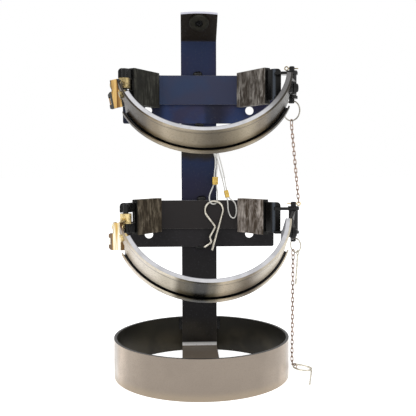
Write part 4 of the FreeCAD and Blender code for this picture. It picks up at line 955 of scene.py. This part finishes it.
def band_coat(row, light):
    """A satin metallic coat with drawn lines, painted reflections along the band, painted edge highlights
    and a painted black shadow in the gutter.
    """
    finish = Finish("band_coat_" + row)
    angle, radius, height = band_place(finish, row)
    # Painted reflections: creamy and dark zones along the band by angle
    tones = [(at, shown(*tone, share=light)) for at, tone in BAND_REFLECTIONS[row]]
    body = finish.zones(finish.wander(angle, finish.noise("band_drift"), REFLECTION_WANDER[row]), tones)
    along = finish.node("ShaderNodeCombineXYZ")
    for socket, value in zip(along.inputs, (finish.times(angle, 0.0006), radius, height)):
        finish.put(socket, value)
    drawn = finish.noise("drawn_lines", along.outputs[0])
    # Painted shadow inside the gutter
    gutter_shadow = finish.times(finish.within(radius, *GUTTER_RADII), finish.within(height, *GUTTER_HEIGHTS))
    layers = (
        (finish.step(drawn, 0.42, 0.70, 0.0, 0.22), BAND_LINES),
        (finish.times(finish.within(height, *LINE_HEIGHTS), 0.45), BAND_EDGE_LINE),
        # Painted highlight along the band's edges
        (finish.times(finish.edge(GLOSS_EDGE), 0.25), BAND_EDGE_HIGHLIGHT),
        (gutter_shadow, GUTTER_SHADOW),
    )
    finish.shade(
        Base_Color=finish.layered(body, layers),
        Metallic=finish.times(finish.maths("SUBTRACT", 1.0, gutter_shadow), 0.2),
        Roughness=finish.step(drawn, 0.3, 0.7, 0.26, 0.40),
        Normal=finish.bump(drawn, 0.05, FINE_GRAIN, finish.rounded(FINE_EDGE)))
    return finish.material


def liner_rubber(row):
    """Smooth light grey rubber with dusty patches and a dark line inside, dark at the upper right end."""
    finish = Finish("liner_rubber_" + row)
    grey = bpy.context.scene.bracket_band.liner_grey
    angle, radius, _ = band_place(finish, row)
    dust = finish.step(finish.noise("liner_dust"), 0.40, 0.66)
    body = finish.blend(dust, grey, scaled(grey, 0.8))
    inner = finish.times(finish.step(radius, *LINER_INSIDE), 0.6)
    body = finish.blend(inner, body, LINER_LINE)
    if row == "upper":
        body = finish.blend(finish.step(angle, *LINER_DARKENS, 0.0, 0.85), body, LINER_DARK)
    finish.shade(
        Base_Color=body,
        Roughness=0.5,
        Normal=finish.bump(finish.noise("liner_grain"), 0.10, FINE_GRAIN))
    return finish.material


class BRACKET_OT_bands(Operator):
    """Coats the clamp bands and their liners"""
    bl_idname = "bracket.bands"
    bl_label = "Clamp bands"

    def execute(self, context):
        band = context.scene.bracket_band
        dress(["band_upper"], band_coat("upper", band.upper_light))
        dress(["band_lower"], band_coat("lower", band.lower_light))
        for row in ROWS:
            dress(["band_liner_" + row], liner_rubber(row))
        return {"FINISHED"}


# Plated and bare metal pieces

PLATED_GRAIN = 0.2 * MM
PLATED_EDGE = 0.3 * MM


def plated(name, colour, roughness, tarnish):
    """Metal with cloudy tarnish."""
    finish = Finish(name)
    cloudy = finish.step(finish.noise("plated_clouds"), 0.40, 0.68)
    fine = finish.noise("plated_grain")
    finish.shade(
        Base_Color=finish.blend(cloudy, colour, scaled(colour, tarnish)),
        Metallic=1.0,
        Roughness=finish.step(cloudy, 0.0, 1.0, roughness, roughness + 0.2),
        Normal=finish.bump(fine, 0.05, PLATED_GRAIN, finish.rounded(PLATED_EDGE)))
    return finish.material


# Each lever's painted light and shade, as screen values: light and dark of the lit web, then the shaded
# wings; the lower lever is painted lighter as lit, the upper darker as shaded
LEVER_LIT_AND_SHADED = {
    "upper": ((214, 176, 110), (120, 84, 42), (26, 24, 14)),
    "lower": ((250, 244, 222), (206, 170, 96), (120, 88, 46)),
}
LEVER_FRONT = (-0.25, -0.97, 0.0)


def lever_zinc(row):
    """Yellow zinc with upright lines on the lever's web, and darker wings painted in shade where they face
    away from the front.
    """
    finish = Finish("lever_zinc_" + row)
    light, dark, wing_shade = (shown(*tone) for tone in LEVER_LIT_AND_SHADED[row])
    lines = finish.noise("lever_lines", finish.stretch((1.0, 1.0, 0.05)))
    web = finish.blend(finish.step(lines, 0.42, 0.60), light, dark)
    cloudy = finish.step(finish.noise("lever_clouds"), 0.44, 0.66)
    wings = finish.blend(cloudy, wing_shade, scaled(wing_shade, 0.4))
    # Painted light on the web that faces front, painted shade on the wings
    front = finish.step(finish.facing(LEVER_FRONT), 0.80, 0.95)
    finish.shade(
        Base_Color=finish.blend(front, wings, web),
        Metallic=finish.step(front, 0.0, 1.0, 0.3, 0.7),
        Roughness=0.32,
        Normal=finish.bump(lines, 0.08, FINE_GRAIN, finish.rounded(FINE_EDGE)),
        Specular_IOR_Level=0.3)
    return finish.material


class BRACKET_OT_hardware(Operator):
    """Plates the latch pieces, rivets, rings, pins and the clip"""
    bl_idname = "bracket.hardware"
    bl_label = "Plated hardware"

    def execute(self, context):
        tones = context.scene.bracket_hardware
        zinc, wire = tones.zinc_yellow, tones.bright_wire
        for row in ROWS:
            dress(["latch_lever_" + row], lever_zinc(row))
        zinc_kinds = ("eyebolt", "lever_pin", "keeper_rivet", "cotter_pin")
        finishes = (
            (plated("yellow_zinc", zinc, 0.26, 0.6), [kind + "_lower" for kind in zinc_kinds]),
            # The upper latch's zinc is a darker copy of the yellow zinc, painted in shade
            (plated("old_zinc", scaled(zinc, 0.5), 0.3, 0.25), [kind + "_upper" for kind in zinc_kinds]),
            (plated("bright_wire", wire, 0.24, 0.62),
             ["tether_pin", "pull_pin", "hitch_clip", "anchor_screw", "split_ring_lower"]),
            (plated("ring_wire", scaled(wire, 0.6), 0.26, 0.4), ["split_ring_upper"]),
            (plated("crimped_brass", tones.brass, 0.30, 0.6), ["ferrule_1", "ferrule_2"]),
            (plated("chain_steel", tones.chain_brown, 0.34, 0.45),
             ["chain_upper", "chain_lower", "chain_hook"]),
        )
        for material, names in finishes:
            dress(names, material)
        return {"FINISHED"}


# Sleeves

# Each sleeve's dark rubber and its chalk, as screen values, and how much chalk it carries
SLEEVE_TONES = {
    "upper_left": ((30, 29, 22), (96, 95, 86), 0.5),
    "upper_right": ((62, 54, 46), (172, 166, 158), 0.95),
    "lower_left": ((50, 40, 26), (150, 138, 118), 0.85),
    "lower_right": ((80, 68, 56), (200, 190, 182), 1.0),
}
ARM_WAY = (0.559, -0.829)
SLEEVE_EDGE = 0.8 * MM
SLEEVE_END = (0.006, 0.006, 0.005)


def sleeve_rubber(place, light):
    """Dark rubber with chalky scuffs that run up and down, worn edges and dark ends."""
    finish = Finish("sleeve_" + place)
    dark, chalk, amount = SLEEVE_TONES[place]
    dark = shown(*dark, share=light)
    chalk = shown(*chalk, share=light)
    streaks = finish.noise("sleeve_streaks", finish.stretch((1.0, 1.0, 0.30)), distortion=0.6)
    fibres = finish.noise("sleeve_fibres", finish.stretch((1.0, 1.0, 0.14)))
    patches = finish.noise("sleeve_patches")
    chalky = finish.times(finish.step(streaks, 0.44, 0.60),
                          finish.step(patches, 0.38, 0.62, 0.2 * amount, amount))
    side = 1 if place.endswith("right") else -1
    arm_end = finish.facing((side * ARM_WAY[0], ARM_WAY[1], 0.0))
    layers = (
        (chalky, chalk),
        (finish.step(fibres, 0.45, 0.66, 0.0, 0.5), scaled(dark, 0.5)),
        (finish.step(fibres, 0.52, 0.34, 0.0, 0.35 * amount), chalk),
        (finish.times(finish.edge(SLEEVE_EDGE), 0.45), scaled(chalk, 1.3)),
        (finish.step(arm_end, 0.8, 0.95), SLEEVE_END),
    )
    rough = finish.maths("ADD", fibres, streaks)
    finish.shade(
        Base_Color=finish.layered(dark, layers),
        Roughness=0.62,
        Normal=finish.bump(rough, 0.18, GRAIN_DEPTH, finish.rounded(SOFT_EDGE)),
        Specular_IOR_Level=0.25)
    return finish.material


class BRACKET_OT_sleeves(Operator):
    """Makes the rubber sleeves' finish"""
    bl_idname = "bracket.sleeves"
    bl_label = "Rubber sleeves"

    def execute(self, context):
        light = context.scene.bracket_sleeve.light
        for place in SLEEVE_TONES:
            dress(["sleeve_" + place], sleeve_rubber(place, light))
        return {"FINISHED"}


# Bumper

BUMPER_DARK = (0.010, 0.010, 0.006)
BUMPER_LIGHT = (0.022, 0.020, 0.013)


class BRACKET_OT_bumper(Operator):
    """Finishes the rubber bumper on the top tab"""
    bl_idname = "bracket.bumper"
    bl_label = "Top bumper"

    def execute(self, context):
        finish = Finish("bumper_rubber")
        patches = finish.step(finish.noise("bumper_patches"), 0.4, 0.65)
        finish.shade(
            Base_Color=finish.blend(patches, BUMPER_DARK, BUMPER_LIGHT),
            Roughness=0.55,
            Normal=finish.bump(finish.noise("bumper_grain"), 0.1, FINE_GRAIN),
            Specular_IOR_Level=0.2)
        dress(["top_bumper"], finish.material)
        return {"FINISHED"}


class BRACKET_PT_sidebar(Panel):
    """Lists the steps that dress the bracket"""
    bl_label = "Bracket"
    bl_idname = "BRACKET_PT_sidebar"
    bl_space_type = "VIEW_3D"
    bl_region_type = "UI"
    bl_category = "Bracket"

    def draw(self, context):
        for group in SETTINGS:
            box = self.layout.box()
            settings = getattr(context.scene, group)
            for name in settings.bl_rna.properties.keys():
                if name not in ("rna_type", "name"):
                    box.prop(settings, name)
        for operator in OPERATORS:
            self.layout.operator(operator.bl_idname)


OPERATORS = (
    BRACKET_OT_stage,
    BRACKET_OT_lanyards,
    BRACKET_OT_paintwork,
    BRACKET_OT_base_ring,
    BRACKET_OT_bands,
    BRACKET_OT_hardware,
    BRACKET_OT_sleeves,
    BRACKET_OT_bumper,
)


def register():
    for group, kind in SETTINGS.items():
        bpy.utils.register_class(kind)
        setattr(bpy.types.Scene, group, PointerProperty(type=kind))
    for kind in (*OPERATORS, BRACKET_PT_sidebar):
        bpy.utils.register_class(kind)


def unregister():
    for kind in (BRACKET_PT_sidebar, *reversed(OPERATORS)):
        bpy.utils.unregister_class(kind)
    for group, kind in SETTINGS.items():
        delattr(bpy.types.Scene, group)
        bpy.utils.unregister_class(kind)


def main():
    register()
    bpy.ops.bracket.stage()
    bpy.ops.bracket.lanyards()
    bpy.ops.bracket.paintwork()
    bpy.ops.bracket.base_ring()
    bpy.ops.bracket.bands()
    bpy.ops.bracket.hardware()
    bpy.ops.bracket.sleeves()
    bpy.ops.bracket.bumper()


if __name__ == "__main__":
    main()
